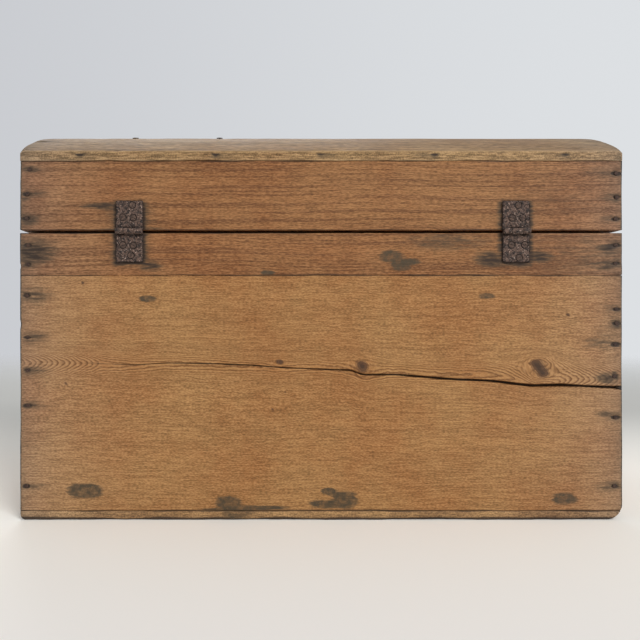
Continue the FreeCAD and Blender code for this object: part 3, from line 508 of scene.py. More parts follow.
pine_grain, grain_in, grain_out = effect(
    "pine grain",
    {"Grain": "Vector", "Fibre": "Vector", "Flame": "Vector", "Flamed": "Float", "Sawn": "Float",
     "Ring": "Float", "Contrast": "Float", "Pale": "Color", "Warm": "Color", "Late": "Color",
     "Bright": "Color"},
    {"Color": "Color", "Height": "Float"})
place = add(pine_grain, "TexCoord").outputs["Object"]
flamed, sawn, contrast = (grain_in[key] for key in ("Flamed", "Sawn", "Contrast"))

# The dark late wood of the rings is noise along the distance from the pith, in broad bands.
ring, run = add(pine_grain, "SeparateXYZ", {0: grain_in["Grain"]}).outputs[:2]
ring = calc("MULTIPLY_ADD", speckle(place, 45, 2), 0.0009, ring)
flow = vector(calc("DIVIDE", ring, grain_in["Ring"]), calc("MULTIPLY", run, 2.2), 0.0)
late = between(speckle(flow, 1.0, 2.0, 0.6, "2D"), 0.49, 0.62)
bands = speckle(vector(ring, calc("MULTIPLY", run, 0.03), 0.0), 60, 2.0, 0.5, "2D")

# In the flame the late wood is a line at each even step of the distance that is given for it.
nearness = add(pine_grain, "SeparateXYZ", {0: grain_in["Flame"]}).outputs[0]
steps = calc("MULTIPLY_ADD", speckle(place, 90, 2), 1.2, calc("DIVIDE", nearness, 0.0050))
turns = calc("FRACT", steps)
pointed = calc("MINIMUM", between(turns, 0.30, 0.8), between(turns, 1.0, 0.86))
late = calc("MULTIPLY", late, calc("SUBTRACT", 1.0, flamed))
late = calc("MULTIPLY_ADD", pointed, flamed, late)

# The fibres are noise drawn out along the board, wavy in some places, and finer with finer rings.
waves = calc("SUBTRACT", speckle(place, 110, 1), 0.5)
waves = calc("MULTIPLY", waves, between(speckle(place, 7, 1), 0.46, 0.62))
bent_by = vector(0.0, calc("MULTIPLY", waves, 0.0034), 0.0)
thread = add(pine_grain, "VectorMath", {0: grain_in["Fibre"], 1: bent_by}).outputs[0]
finer = calc("DIVIDE", 0.0024, grain_in["Ring"])
longer = vector(calc("POWER", finer, 3.0), finer, finer)
thread = add(pine_grain, "VectorMath", {0: thread, 1: longer}, operation="MULTIPLY").outputs[0]


def drawn_out(along, across):
    """The place within the board with its scales along and across the fibres."""
    return add(pine_grain, "Mapping", {"Vector": thread, "Scale": (along, across, across)}).outputs[0]


fibre = between(speckle(drawn_out(70, 660), 1.0, 1.5, 0.55), 0.36, 0.64)
dashes = between(speckle(drawn_out(300, 1000), 1.0, 1.0, 0.5), 0.36, 0.64)
grit = speckle(place, 560, 2, 0.6)

# Colour: blotches of two tones, the late wood, and then a shade of bands, fibres and saw marks.
tone = blend(between(speckle(place, 9, 4, 0.6), 0.36, 0.66), grain_in["Pale"], grain_in["Warm"])
calmer = calc("MULTIPLY_ADD", sawn, -0.65, 1.0)
strength = calc("MULTIPLY", calc("MAXIMUM", contrast, calc("MULTIPLY", flamed, 0.85)), calmer)
tone = stain(tone, late, strength, grain_in["Late"])
broad = calc("MULTIPLY", calc("SUBTRACT", bands, 0.5), calc("MULTIPLY", calmer, contrast))
shade = calc("MULTIPLY_ADD", broad, 0.65, 1.0)
dips = calc("MULTIPLY", flamed, calc("MULTIPLY_ADD", pointed, -0.30, 0.15))
shade = calc("MULTIPLY", shade, calc("ADD", dips, 1.0))
weft = calc("MULTIPLY_ADD", dashes, 0.50, calc("MULTIPLY", grit, 0.32))
weft = calc("MULTIPLY_ADD", fibre, 0.34, weft)
plain = calc("MULTIPLY_ADD", contrast, 0.3, calc("MULTIPLY_ADD", flamed, -0.5, 0.80))
texture = calc("MULTIPLY", calc("SUBTRACT", weft, 0.60), plain)
shade = calc("MULTIPLY", shade, calc("ADD", texture, 1.0))
rough = calc("MULTIPLY", calc("SUBTRACT", grit, 0.47), sawn)
rough = calc("MULTIPLY_ADD", rough, 2.6, calc("MULTIPLY_ADD", sawn, 0.16, 1.0))
shaded = scaled(tone, calc("MULTIPLY", shade, rough))
shaded = stain(shaded, between(weft, 0.54, 0.98), 0.3, grain_in["Bright"])
finish(grain_out, Color=shaded, Height=calc("MULTIPLY_ADD", late, 0.4, calc("MULTIPLY", fibre, 0.5)))

age, age_in, age_out = effect(
    "age and dirt",
    {"Color": "Color", "Arris": "Float", "Seam": "Float", "Butt": "Float", "Halo": "Float",
     "Marks": "Float", "Knot": "Float", "Inside": "Float", "Rubbed": "Color", "Iron Stain": "Color",
     "Grey Stain": "Color", "Knot Wood": "Color"},
    {"Color": "Color", "Roughness": "Float"})
rubbed, iron, grey = (age_in[key] for key in ("Rubbed", "Iron Stain", "Grey Stain"))
place = add(age, "TexCoord").outputs["Object"]
streaked = add(age, "Mapping", {"Vector": place, "Scale": (0.16, 1.0, 1.0)}).outputs[0]
streaks = speckle(streaked, 330, 3, 0.6)
mottle = speckle(place, 150, 4, 0.65)
cloud = speckle(place, 28, 3, 0.6)

# The inside is paler, corners are rubbed pale and then grey, ends are grey, and seams and the foot are
# dark: dirt and painted shade in the seams, and a painted contact shadow at the foot.
tone = stain(age_in["Color"], age_in["Inside"], 0.35, rubbed)
worn = calc("MULTIPLY", age_in["Arris"], calc("ADD", cloud, 0.4))
tone = stain(tone, between(worn, 0.08, 0.35), 0.55, rubbed)
tone = stain(tone, calc("MULTIPLY", age_in["Butt"], cloud), 0.7, grey)
tone = stain(tone, between(age_in["Arris"], 0.32, 0.66), 0.6, grey)
# Seams darkened by dirt and painted shade, and the foot by a painted contact shadow.
tone = stain(tone, between(age_in["Seam"], 0.25, 0.9), 0.9, iron)

# A knot is brown, with dark rings and a dark core, and a brown line round it.
lumpy = calc("MULTIPLY_ADD", mottle, 0.7, calc("SUBTRACT", age_in["Knot"], 0.35))
knotted = between(lumpy, -0.06, 0.16)
tone = stain(tone, knotted, 0.9, age_in["Knot Wood"])
turns = calc("SINE", calc("MULTIPLY", lumpy, 34.0))
dark = calc("MAXIMUM", between(turns, 0.2, 1.0), between(lumpy, 0.42, 0.62))
tone = stain(tone, calc("MULTIPLY", knotted, dark), 0.62, iron)
ringed = between(calc("ABSOLUTE", calc("ADD", lumpy, 0.10)), 0.14, 0.02)
tone = stain(tone, ringed, 0.6, age_in["Knot Wood"])

# Wet has left grey marks, and iron a haze round it that is black where it is strongest; along the hinge
# plates' outlines that black is a painted contact shadow.
marked = calc("MULTIPLY_ADD", streaks, 0.7, calc("SUBTRACT", age_in["Marks"], 0.35))
uneven = calc("MULTIPLY_ADD", mottle, 1.5, 0.10, clamp=True)
tone = stain(tone, between(marked, -0.11, 0.26), uneven, grey)
streaky = calc("MULTIPLY", age_in["Halo"], calc("MULTIPLY_ADD", streaks, 2.6, -0.3))
tone = stain(tone, between(streaky, 0.08, 0.62), 0.72, grey)
tone = stain(tone, between(streaky, 0.42, 0.95), 0.85, iron)
weathered = calc("MULTIPLY_ADD", calc("POWER", age_in["Butt"], 0.2), -0.18, 1.0)
tone = add(age, "HueSaturation", {"Color": tone, "Saturation": weathered}).outputs[0]
finish(age_out, Color=tone, Roughness=calc("MULTIPLY_ADD", cloud, 0.16, 0.56))


def pine(name, pale, warm, late, ring, contrast, rubbed, flamed=False):
    """Old pine: growth rings, fibres and blotches, then rubbed edges, dirt at the ends, knots, grey
    marks and the dark stain round iron."""
    made, tree, shader = empty_material(name)

    def read(key):
        found = add(tree, "Attribute", None, attribute_name=key)
        return found.outputs["Vector" if key in ("grain", "fibre", "pointed") else "Fac"]

    close = {"Flame": read("pointed"), "Flamed": read("flamed")} if flamed else {}
    wood = use(tree, pine_grain, Grain=read("grain"), Fibre=read("fibre"), Sawn=read("sawn"), Ring=ring,
               Contrast=contrast, Pale=pale, Warm=warm, Late=late, Bright=rubbed, **close)
    # The iron stain colour also paints the shade in the seams and the contact shadow at the foot.
    aged = use(tree, age, Color=wood["Color"], Arris=read("arris"), Seam=read("seam"), Butt=read("butt"),
               Halo=read("halo"), Marks=read("marks"), Knot=read("knot"), Inside=read("inside"),
               Rubbed=rubbed, Iron_Stain=paint(48, 38, 33), Grey_Stain=paint(78, 66, 50),
               Knot_Wood=paint(92, 64, 44))
    coat(shader, aged["Color"], aged["Roughness"], wood["Height"], 0.6, 0.0004)
    shader.inputs["Specular IOR Level"].default_value = 0.22
    return made


WIDE_TONES = (paint(164, 121, 74), paint(155, 106, 61), paint(122, 79, 42), 0.0024, 0.25,
              paint(182, 144, 100))
wide_pine = pine("wide_board_pine", *WIDE_TONES)
red_pine = pine("narrow_board_pine", paint(152, 107, 67), paint(137, 89, 52), paint(100, 62, 37),
                0.0027, 0.56, paint(165, 125, 84))
low_pine = pine("bottom_board_pine", paint(156, 122, 82), paint(112, 82, 54), paint(90, 62, 41),
                0.0028, 0.5, paint(158, 126, 88))
for name, seed in (("bottom_board_front", 11), ("bottom_board_middle", 12), ("bottom_board_back", 13)):
    board(name, "case", "pine", low_pine, axes=(0, 1, 2), pith=(0.0, 0.11), seed=seed, step=0.009,
          worn=0.0016, inner=1, marks=[(0.103, 0.226, 0.036, 0.0011)])

# Ends of the case: two boards each, butted between the front and the back. The upper ones slope
# down towards the back.
FRONT_RIM = 0.3437
REAR_RIM = 0.34035


def sloped(points):
    """Heights stretched so that the top edge falls in a straight line from the front to the back."""
    low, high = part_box("left_end_board_upper")
    top = FRONT_RIM + (REAR_RIM - FRONT_RIM) * (points[:, 1] - low.y) / (high.y - low.y)
    height = low.z + (points[:, 2] - low.z) * (top - low.z) / (high.z - low.z)
    return np.stack([points[:, 0], points[:, 1], height], 1)


for side, sign, seed in (("left", -1, 21), ("right", 1, 31)):
    board(f"{side}_end_board_lower", "case", "pine", wide_pine, axes=(1, 2, 0), pith=(0.06, sign * 0.30),
          seed=seed, inner=-sign)
    board(f"{side}_end_board_upper", "case", "pine", red_pine, axes=(1, 2, 0), pith=(0.30, sign * 0.31),
          seed=seed + 1, shape=sloped, inner=-sign)

# Back of the case: a wide board that has split along its heart, and a narrow one above it under the
# hinges, both butted over the ends and nailed through. Iron and wet have marked them.
SPLIT_RUN = np.array([-358, -286, -251, -201, -149, -90, -49, -36, -10, 45, 81, 132, 182, 224, 275,
                      358]) / 1000
SPLIT_HEIGHT = np.array([156.4, 159.6, 158.7, 164.7, 167.0, 172.1, 172.1, 177.1, 178.3, 180.3, 183.3,
                         185.3, 186.0, 183.6, 186.0, 186.5]) / 1000
SPLIT_MIDDLE = 0.172
SPLIT_DEPTH = 0.007
SPLIT_HALF_WIDTH = 0.0020


def split_line(run):
    """Height of the split at a place along the board."""
    return np.interp(run, SPLIT_RUN, SPLIT_HEIGHT)


def along_split(points):
    """Rows near the split's middle height moved up or down on to its line: by the line's height less
    the middle height, times e to minus the square of the distance from the middle over 45 mm."""
    lift = (split_line(points[:, 0]) - SPLIT_MIDDLE) * np.exp(-((points[:, 2] - SPLIT_MIDDLE) / 0.045) ** 2)
    return points + np.stack([0 * lift, 0 * lift, lift], 1)


def split_depth(points):
    """Depth of the split: a sharp groove that widens from nothing near one end to the other. Across
    it the depth is the root of one less the distance from its middle in half widths."""
    open_by = np.interp(points[:, 0], [-0.36, -0.15, -0.06, 0.05, 0.2, 0.29],
                        [1.0, 0.85, 0.6, 0.4, 0.3, 0.0])
    open_by = np.clip(open_by * (1 + 0.25 * unevenness(points * [1, 0, 0], 0.05, 41)), 0, 2)
    off = np.abs(points[:, 2] - SPLIT_MIDDLE) / (SPLIT_HALF_WIDTH * np.maximum(open_by, 0.05))
    on_face = points[:, 1] > HALF_DEPTH - 0.0005
    return on_face * SPLIT_DEPTH * open_by * np.sqrt(np.clip(1 - off, 0, 1))


def heart(run, wide, deep):
    """The wide board's rings lie round its heart, just above the split: the distance from it, with
    the depth counted at 0.3 of what it is."""
    return np.hypot(wide - SPLIT_MIDDLE - 0.003, 0.3 * (HALF_DEPTH - deep) + 0.002)


def flames(run, wide, deep):
    """Rings close to the heart, where the saw ran along it: they meet on it in points, which follow
    each other closely near both ends of the board. A ring is where the distance from the heart's
    line, plus a slant that changes along it, stays the same. With them, how plainly they show."""
    centre = SPLIT_MIDDLE + np.interp(run, [-0.358, -0.25, -0.1, 0.358], [0.0095, 0.0068, 0.003, -0.0022])
    blunt = np.interp(run, [-0.30, -0.2, 0.2, 0.30], [0.0028, 0.001, 0.001, 0.0028])
    slant = np.interp(run, [-0.358, -0.27, -0.20, -0.10, 0.0, 0.20, 0.262, 0.358],
                      [0.132, 0.068, 0.052, 0.045, 0.042, 0.037, 0.030, -0.042])
    reach = np.interp(run, [-0.358, -0.25, -0.05, 0.20, 0.27, 0.358],
                      [0.019, 0.017, 0.011, 0.011, 0.016, 0.014])
    below = np.where(wide < centre, np.interp(run, [-0.25, 0.0], [0.7, 1.0]), 1.0)
    spread = np.hypot(wide - centre, blunt) + 55 * (wide - centre) ** 2
    return spread + slant, np.exp(-((wide - centre) / (reach * below)) ** 4)


BACK_KNOTS = [(-0.0485, SPLIT_MIDDLE + 0.0095, 0.0068, 0.0066),
              (-0.2550, SPLIT_MIDDLE + 0.0230, 0.0070, 0.0046),
              (-0.2590, SPLIT_MIDDLE + 0.0185, 0.0070, 0.0048),
              (-0.2635, SPLIT_MIDDLE + 0.0140, 0.0068, 0.0044),
              (0.0494, SPLIT_MIDDLE + 0.007, 0.0040, 0.0030)]
SPECKS = [(0.0434, 0.1469, 0.0024, 0.0016), (0.0589, 0.1279, 0.0024, 0.0016),
          (0.3031, 0.1493, 0.003, 0.0016), (0.2830, 0.2809, 0.0016, 0.0012),
          (-0.2933, 0.2441, 0.0026, 0.0018)]
WET_MARKS = [(0.2794, 0.0342, 0.0225, 0.0092), (0.1098, 0.0205, 0.0165, 0.0085),
             (0.1096, 0.0122, 0.036, 0.0022), (0.0707, 0.0145, 0.035, 0.0026),
             (-0.0277, 0.0236, 0.0160, 0.0115), (-0.0075, 0.0188, 0.024, 0.0052),
             (-0.0085, 0.0342, 0.0095, 0.0042), (-0.2885, 0.0248, 0.0165, 0.0075),
             (0.2059, 0.2619, 0.0105, 0.0042), (-0.1961, 0.2655, 0.0105, 0.0034)]
DARK_ENDS = [(0.3585, 0.25, 0.0026, 0.6, 1.5), (-0.3585, 0.25, 0.0026, 0.6, 1.5)]
# A darker line along the split.
SPLIT_DARKENING = [(-0.25, SPLIT_MIDDLE, 0.20, 0.0010, 1.7), (0.05, SPLIT_MIDDLE, 0.24, 0.0006, 1.0)]
LOWER_SMUDGES = [(0.340, 0.2655, 0.024, 0.012, 0.56), (0.338, 0.2105, 0.022, 0.009, 0.54),
                 (0.346, 0.1610, 0.012, 0.006, 0.5), (0.340, 0.040, 0.018, 0.004, 0.5),
                 (-0.34, 0.225, 0.02, 0.02, 0.3), (-0.340, 0.182, 0.016, 0.006, 0.8),
                 (-0.262, 0.190, 0.018, 0.012, 0.25), (-0.332, 0.2155, 0.027, 0.007, 0.5),
                 (-0.342, 0.040, 0.024, 0.006, 0.5), (-0.345, 0.132, 0.022, 0.007, 0.6)]
split_pine = pine("split_board_pine", *WIDE_TONES, flamed=True)
board("back_board_lower", "case", "pine", split_pine, pith=heart, flame=flames, seed=41, step=0.005,
      shape=along_split, carve=split_depth, inner=-1,
      extra=((), (), [SPLIT_MIDDLE, SPLIT_MIDDLE + 0.0005, SPLIT_MIDDLE - 0.0005]),
      knots=BACK_KNOTS + SPECKS, marks=WET_MARKS, smudges=DARK_ENDS + SPLIT_DARKENING + LOWER_SMUDGES)
HINGE_SPANS = ((-0.2460, -0.2150), (0.2115, 0.2425))
UPPER_MARKS = [(-0.0830, 0.3127, 0.0152, 0.0078), (-0.0945, 0.3030, 0.0125, 0.0080),
               (-0.1060, 0.3062, 0.0140, 0.0038), (0.0636, 0.2935, 0.009, 0.003)]
UPPER_SMUDGES = [(0.3387, 0.3176, 0.026, 0.016, 0.9), (-0.341, 0.322, 0.018, 0.008, 0.8),
                 (-0.338, 0.302, 0.022, 0.007, 0.8), (0.2271, 0.325, 0.0260, 0.0230, 0.55),
                 (0.203, 0.3015, 0.016, 0.007, 0.8), (-0.2305, 0.325, 0.0260, 0.0220, 0.55),
                 (-0.200, 0.309, 0.018, 0.009, 0.95), (-0.258, 0.312, 0.018, 0.008, 0.9),
                 (-0.150, 0.330, 0.060, 0.014, 0.5), (-0.30, 0.315, 0.10, 0.05, 0.3)]
board("back_board_upper", "case", "pine", red_pine, pith=(0.25, 0.17), seed=45, step=0.005, inner=-1,
      prints=[(*span, 0.3055, 0.345) for span in HINGE_SPANS], marks=UPPER_MARKS,
      smudges=DARK_ENDS + UPPER_SMUDGES)

# Front of the case: two pine boards butted over the ends and nailed, as at the back. The upper one is
# cut out inside for the lock and bored for the key.


def bored(piece, *cutters):
    """Takes boxes and a keyhole, which are given as points and faces, out of a piece."""
    for points, faces in cutters:
        mesh = bpy.data.meshes.new("cutter")
        mesh.from_pydata(points, [], faces)
        tool = put("cutter", mesh)
        cut = piece.modifiers.new("cut", "BOOLEAN")
        cut.operation = "DIFFERENCE"
        cut.solver = "EXACT"
        cut.object = tool
        result = with_modifiers(piece)
        piece.modifiers.clear()
        piece.data = result
        bpy.data.objects.remove(tool)


def block(node, grow):
    """A box a little larger than a node's."""
    low, high = np.array(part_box(node))
    return shell(*(np.array([low[i] - grow[i][0], high[i] + grow[i][1]]) for i in range(3)))


def keyhole(front, back, z, radius, slot, drop):
    """A round hole with a slot below it: an outline in x and z, carried along y."""
    turn = np.linspace(math.radians(-57), math.radians(237), 22)
    outline = np.stack([radius * np.cos(turn), z + radius * np.sin(turn)], 1)
    outline = np.concatenate([outline, [[-slot, z - drop], [slot, z - drop]]])
    count = len(outline)
    ends = [np.insert(outline, 1, y, axis=1) for y in (front, back)]
    ring = np.arange(count)
    sides = np.stack([ring, ring + count, (ring + 1) % count + count, (ring + 1) % count], 1)
    return np.concatenate(ends), [*sides.tolist(), ring.tolist(), (ring[::-1] + count).tolist()]


board("front_board_lower", "case", "pine", wide_pine, pith=(0.02, -0.10), seed=51, inner=1)
upper_front = board("front_board_upper", "case", "pine", red_pine, pith=(0.21, -0.14), seed=55, inner=1)
CLEAR = (0.00005, 0.00005)
bored(upper_front, block("lock_plate", (CLEAR, (-0.0115, 0.003), CLEAR)),
      block("lock_shell", (CLEAR, (0.0001, 0.0002), (0.00005, 0.0002))),
      block("lock_plate", (CLEAR, (0.00005, 0.003), (-0.0445, 0.003))),
      keyhole(front=-0.230, back=-0.215, z=0.3237, radius=0.0026, slot=0.0014, drop=0.009))

# Walls of the lid: the long boards are butted over the arched ends as in the case, and their top
# edges slope with the dome.
DOME_CENTRE = 0.046125
DOME_OUTER = 0.451875
DOME_INNER = 0.440875


def arched(board_top):
    """Heights stretched so that the top edge, at board_top in the box, follows the inside of the dome
    across the trunk."""
    def shape(points):
        top = DOME_CENTRE + np.sqrt(DOME_INNER ** 2 - points[:, 1] ** 2)
        height = FRONT_RIM + (points[:, 2] - FRONT_RIM) * (top - FRONT_RIM) / (board_top - FRONT_RIM)
        return np.stack([points[:, 0], points[:, 1], height], 1)
    return shape


LID_SMUDGES = [(0.345, 0.4240, 0.012, 0.0042, 0.85), (0.352, 0.3845, 0.008, 0.002, 0.9),
               (0.2594, 0.3757, 0.026, 0.0045, 0.85), (0.2271, 0.362, 0.0290, 0.0230, 0.6),
               (-0.2305, 0.360, 0.0260, 0.0220, 0.55), (0.346, 0.3575, 0.012, 0.008, 0.8),
               (-0.335, 0.420, 0.03, 0.012, 0.35), (-0.27, 0.385, 0.09, 0.03, 0.25),
               (0.22, 0.346, 0.04, 0.003, 0.6)]
along_dome = arched(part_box("lid_back_board")[1].z)
board("lid_back_board", "lid", "pine", red_pine, pith=(0.33, 0.16), seed=61, step=0.005, inner=-1,
      shape=along_dome, sunk=0.0005, prints=[(*span, 0.340, 0.3775) for span in HINGE_SPANS],
      smudges=DARK_ENDS + LID_SMUDGES)
board("lid_front_board", "lid", "pine", red_pine, pith=(0.42, -0.13), seed=65, shape=along_dome, inner=1)
for side, sign, seed in (("left", -1, 71), ("right", 1, 75)):
    board(f"lid_{side}_end", "lid", "pine", wide_pine, axes=(1, 2, 0), pith=(0.36, sign * 0.28), seed=seed,
          shape=arched(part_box(f"lid_{side}_end")[1].z), inner=-sign)

# Dome: four long planks bent over the arched ends and nailed down. The outer two overhang the long
# walls, and their sawn edges show as a strip along the back and the front.
JOINTS = np.array([-1, -0.5, 0, 0.5, 1]) * math.asin(HALF_DEPTH / DOME_OUTER)


def bent(start, end):
    """Carries a straight plank on to the dome: the place across it becomes an angle about the dome's
    centre and its height a radius. An outer edge is kept upright, over the wall's face, and is rubbed
    down at both ends of the trunk."""
    def shape(points):
        past = np.clip((np.abs(points[:, 0]) - HALF_LENGTH + 0.007) / 0.007, 0, 1)
        outer = np.minimum(points[:, 1] - JOINTS[0] * DOME_OUTER, JOINTS[-1] * DOME_OUTER - points[:, 1])
        rubbed = 1 - 0.34 * past ** 3 * np.exp(-np.clip(outer, 0, 1) / 0.009)
        radius = DOME_INNER + points[:, 2] * rubbed
        over = np.arcsin(HALF_DEPTH / np.maximum(radius, HALF_DEPTH))
        first = -over if start == JOINTS[0] else start
        last = over if end == JOINTS[-1] else end
        share = (points[:, 1] / DOME_OUTER - start) / (end - start)
        angle = first + (last - first) * share
        return np.stack([points[:, 0], radius * np.sin(angle), DOME_CENTRE + radius * np.cos(angle)], 1)
    return shape


def unbent(points):
    """Where a point on the dome lies on its straight plank."""
    up = points[:, 2] - DOME_CENTRE
    return np.stack([points[:, 0], DOME_OUTER * np.arctan2(points[:, 1], up),
                     np.hypot(points[:, 1], up) - DOME_INNER], 1)


dome_pine = pine("dome_plank_pine", paint(140, 112, 76), paint(128, 98, 65), paint(99, 74, 48),
                 0.0034, 0.54, paint(182, 150, 110))
for number, (start, end) in enumerate(zip(JOINTS[:-1], JOINTS[1:]), 1):
    board(f"lid_plank_{number}", "lid", "dome_pine", dome_pine, axes=(0, 1, 2),
          pith=(0.03 * (-1) ** number, -0.06 - 0.02 * number), seed=80 + 5 * number, step=0.005,
          worn=0.0010, rubbed=True, shape=bent(start, end), unshape=unbent, inner=-1,
          size=((-HALF_LENGTH, start * DOME_OUTER, 0),
                (HALF_LENGTH, end * DOME_OUTER, DOME_OUTER - DOME_INNER)))

# Hinges: two iron back-flaps, a leaf screwed on each side of the gap. Each leaf is a sheet with its
# knuckles rolled round the pin, and rust has left pits in the faces and eaten the edges. Its recesses,
# sides and the inside of its knuckles are darkened with painted shade.
hinge_rust = rusty("hinge_rust", 1.0, paint(34, 24, 20), paint(106, 83, 71), paint(228, 202, 184), 0.1,
                   0.0016)
# The pins' axis in y and z, and the leaves' sizes in metres.
AXIS = np.array([0.22885, 0.34195])
LEAF_FACE = 0.2272
KNUCKLE_RADII = (0.00185, 0.00375)
SEAT_RADIUS = 0.0043
SHEET_START = 0.0042
SHEET_CORNER = 0.0016
SHEET_PITS = 0.0017
ROOT_FACE = 0.2269


def together(shells):
    """Several closed skins as one mesh."""
    starts = np.cumsum([0] + [len(points) for points, faces in shells[:-1]])
    return (np.concatenate([points for points, faces in shells]),
            np.concatenate([faces + start for (points, faces), start in zip(shells, starts)]))


def leaf(name, body, way, rolled, screws, seed):
    """One leaf: the sheet is a fine grid with rounded, eaten corners, sunk in pits by a smooth random
    depth that grows close to its border, and sunk round each of the places of screws. A knuckle is a
    ring about the axis from its root on the sheet most of the way round. The deeper pits, the screw
    seats, the sheet's sides and back, the root, the knuckle's worn hollows and its inside are darkened
    as painted shade."""
    low, high = np.array(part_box(name))
    near = AXIS[1] + way * SHEET_START
    span = (near, high[2]) if way > 0 else (low[2], near)
    fine = [np.linspace(low[0], high[0], 58), np.linspace(HALF_DEPTH, LEAF_FACE, 5), np.linspace(*span, 58)]
    sheet, sheet_faces = shell(*fine)
    middle = (sheet.max(0) + sheet.min(0)) / 2
    half = (sheet.max(0) - sheet.min(0)) / 2
    round_by = SHEET_CORNER + 0.0010 * np.clip(unevenness(sheet, 0.02, seed), -1, 1)
    inner = np.clip(sheet - middle, -(half - round_by[:, None]), half - round_by[:, None]) * [1, 0, 1]
    out = (sheet - middle) * [1, 0, 1] - inner
    far = np.linalg.norm(out, axis=1)
    tight = np.minimum(1, round_by / np.maximum(far, 1e-9))
    edge = far > round_by * 0.98
    bitten = edge * 0.0005 * np.clip(unevenness(sheet, 0.006, seed + 1) + 0.3, 0, 1.4)
    sheet[:, ::2] = (middle + inner + out * (tight - bitten / np.maximum(far, 1e-9))[:, None])[:, ::2]
    pits = (0.00034 * np.clip(unevenness(sheet, 0.0042, seed + 2), -0.6, 1.4)
            + 0.00018 * np.clip(unevenness(sheet, 0.0020, seed + 3), -0.6, 1.5) + 0.00032)
    border = (half - np.abs(sheet - middle))[:, ::2].min(1)
    pits += 0.0010 * np.clip(1 - border / 0.0016, 0, 1) ** 1.5
    front = sheet[:, 1] > LEAF_FACE - 0.0001
    here = (np.abs(screws[:, 0] - middle[0]) < 0.02) & (np.sign(screws[:, 2] - AXIS[1]) == way)
    for place in screws[here]:
        off = np.hypot(sheet[:, 0] - place[0], sheet[:, 2] - place[2])
        pits = np.maximum(pits, 0.0012 * np.clip((SEAT_RADIUS + 0.0006 - off) / 0.0006, 0, 1))
    sheet[:, 1] -= front * np.minimum(pits, SHEET_PITS)
    # Painted shade: deeper pits, screw seats and the eaten border are darkened, the sides and back more.
    sheet_shade = np.where(front, np.clip(pits / 0.0009 - 0.35, 0, 1), 0.9)
    skins = [(sheet, sheet_faces)]
    leaf_shades = [sheet_shade]
    for start, end in rolled:
        turn = np.linspace(-2.75, 3.02, 34) if way > 0 else np.linspace(-3.02, 2.75, 34)
        ring, ring_faces = shell(np.linspace(start, end, 16), np.linspace(*KNUCKLE_RADII, 4), turn)
        outer = ring[:, 1] > KNUCKLE_RADII[1] - 1e-6
        ends = np.minimum(ring[:, 0] - start, end - ring[:, 0])
        angle, radius = ring[:, 2], ring[:, 1] - outer * 0.0004 * np.clip(1 - ends / 0.0008, 0, 1) ** 2
        ring = np.stack([ring[:, 0], AXIS[0] + radius * np.cos(angle), AXIS[1] + radius * np.sin(angle)], 1)
        worn = outer * (0.00016 + 0.00016 * unevenness(ring, 0.0035, seed + 4))
        ring[:, 1:] -= np.stack([np.cos(angle), np.sin(angle)], 1) * np.abs(worn)[:, None]
        neck = sorted((AXIS[1] + way * 0.0005, near + way * 0.0008))
        # Painted shade: the knuckle's worn hollows and its inside are darkened.
        leaf_shades.append(np.clip(outer * np.abs(worn) / 0.0006 - 0.15, 0, 0.8) + 0.9 * (radius < 0.0019))
        root = shell(np.linspace(start, end, 12), np.array([HALF_DEPTH, ROOT_FACE]), np.linspace(*neck, 6))
        skins += [(ring, ring_faces), root]
        # Painted shade: the root between the sheet and the knuckle is darkened.
        leaf_shades.append(np.full(len(skins[-1][0]), 0.75))
    return make(f"iron_{name}", *together(skins), body, "hinge_iron", hinge_rust, name,
                pitted=np.concatenate(leaf_shades))


hinge_screws = heads("hinge_case_screws", "hinge_lid_screws")[0]
for side, seed in (("left", 101), ("right", 111)):
    low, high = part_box(f"hinge_case_leaf_{side}")
    centre = (low.x + high.x) / 2
    leaf(f"hinge_case_leaf_{side}", "case", -1, [(centre - 0.0065, centre + 0.0065)], hinge_screws, seed)
    leaf(f"hinge_lid_leaf_{side}", "lid", 1, [(low.x, centre - 0.0068), (centre + 0.0068, high.x)],
         hinge_screws, seed + 5)
    nodes[f"hinge_pin_{side}"].data.materials[0] = hinge_rust
screw_rust = rusty("screw_rust", 1.4, paint(60, 46, 39), paint(100, 79, 67), paint(150, 126, 110), 0.15,
                   0.0005)
for name, body in (("hinge_case_screws", "case"), ("hinge_lid_screws", "lid")):
    studs(name, heads(name), body, "screw_iron", screw_rust, radius=0.0034, thickness=0.0008,
          shank=0.0020, length=0.015, slit=0.0008, sunk=0.0001, seed=93)

# Box lock inside the front board, with its keyhole plate outside and its link in the lid's rim: cut
# iron plates that rust has eaten a little.
lock_iron = rusty("lock_iron_dull", 0.8, paint(52, 46, 42), paint(84, 74, 67), paint(122, 100, 84), 0.5,
                  0.0002)


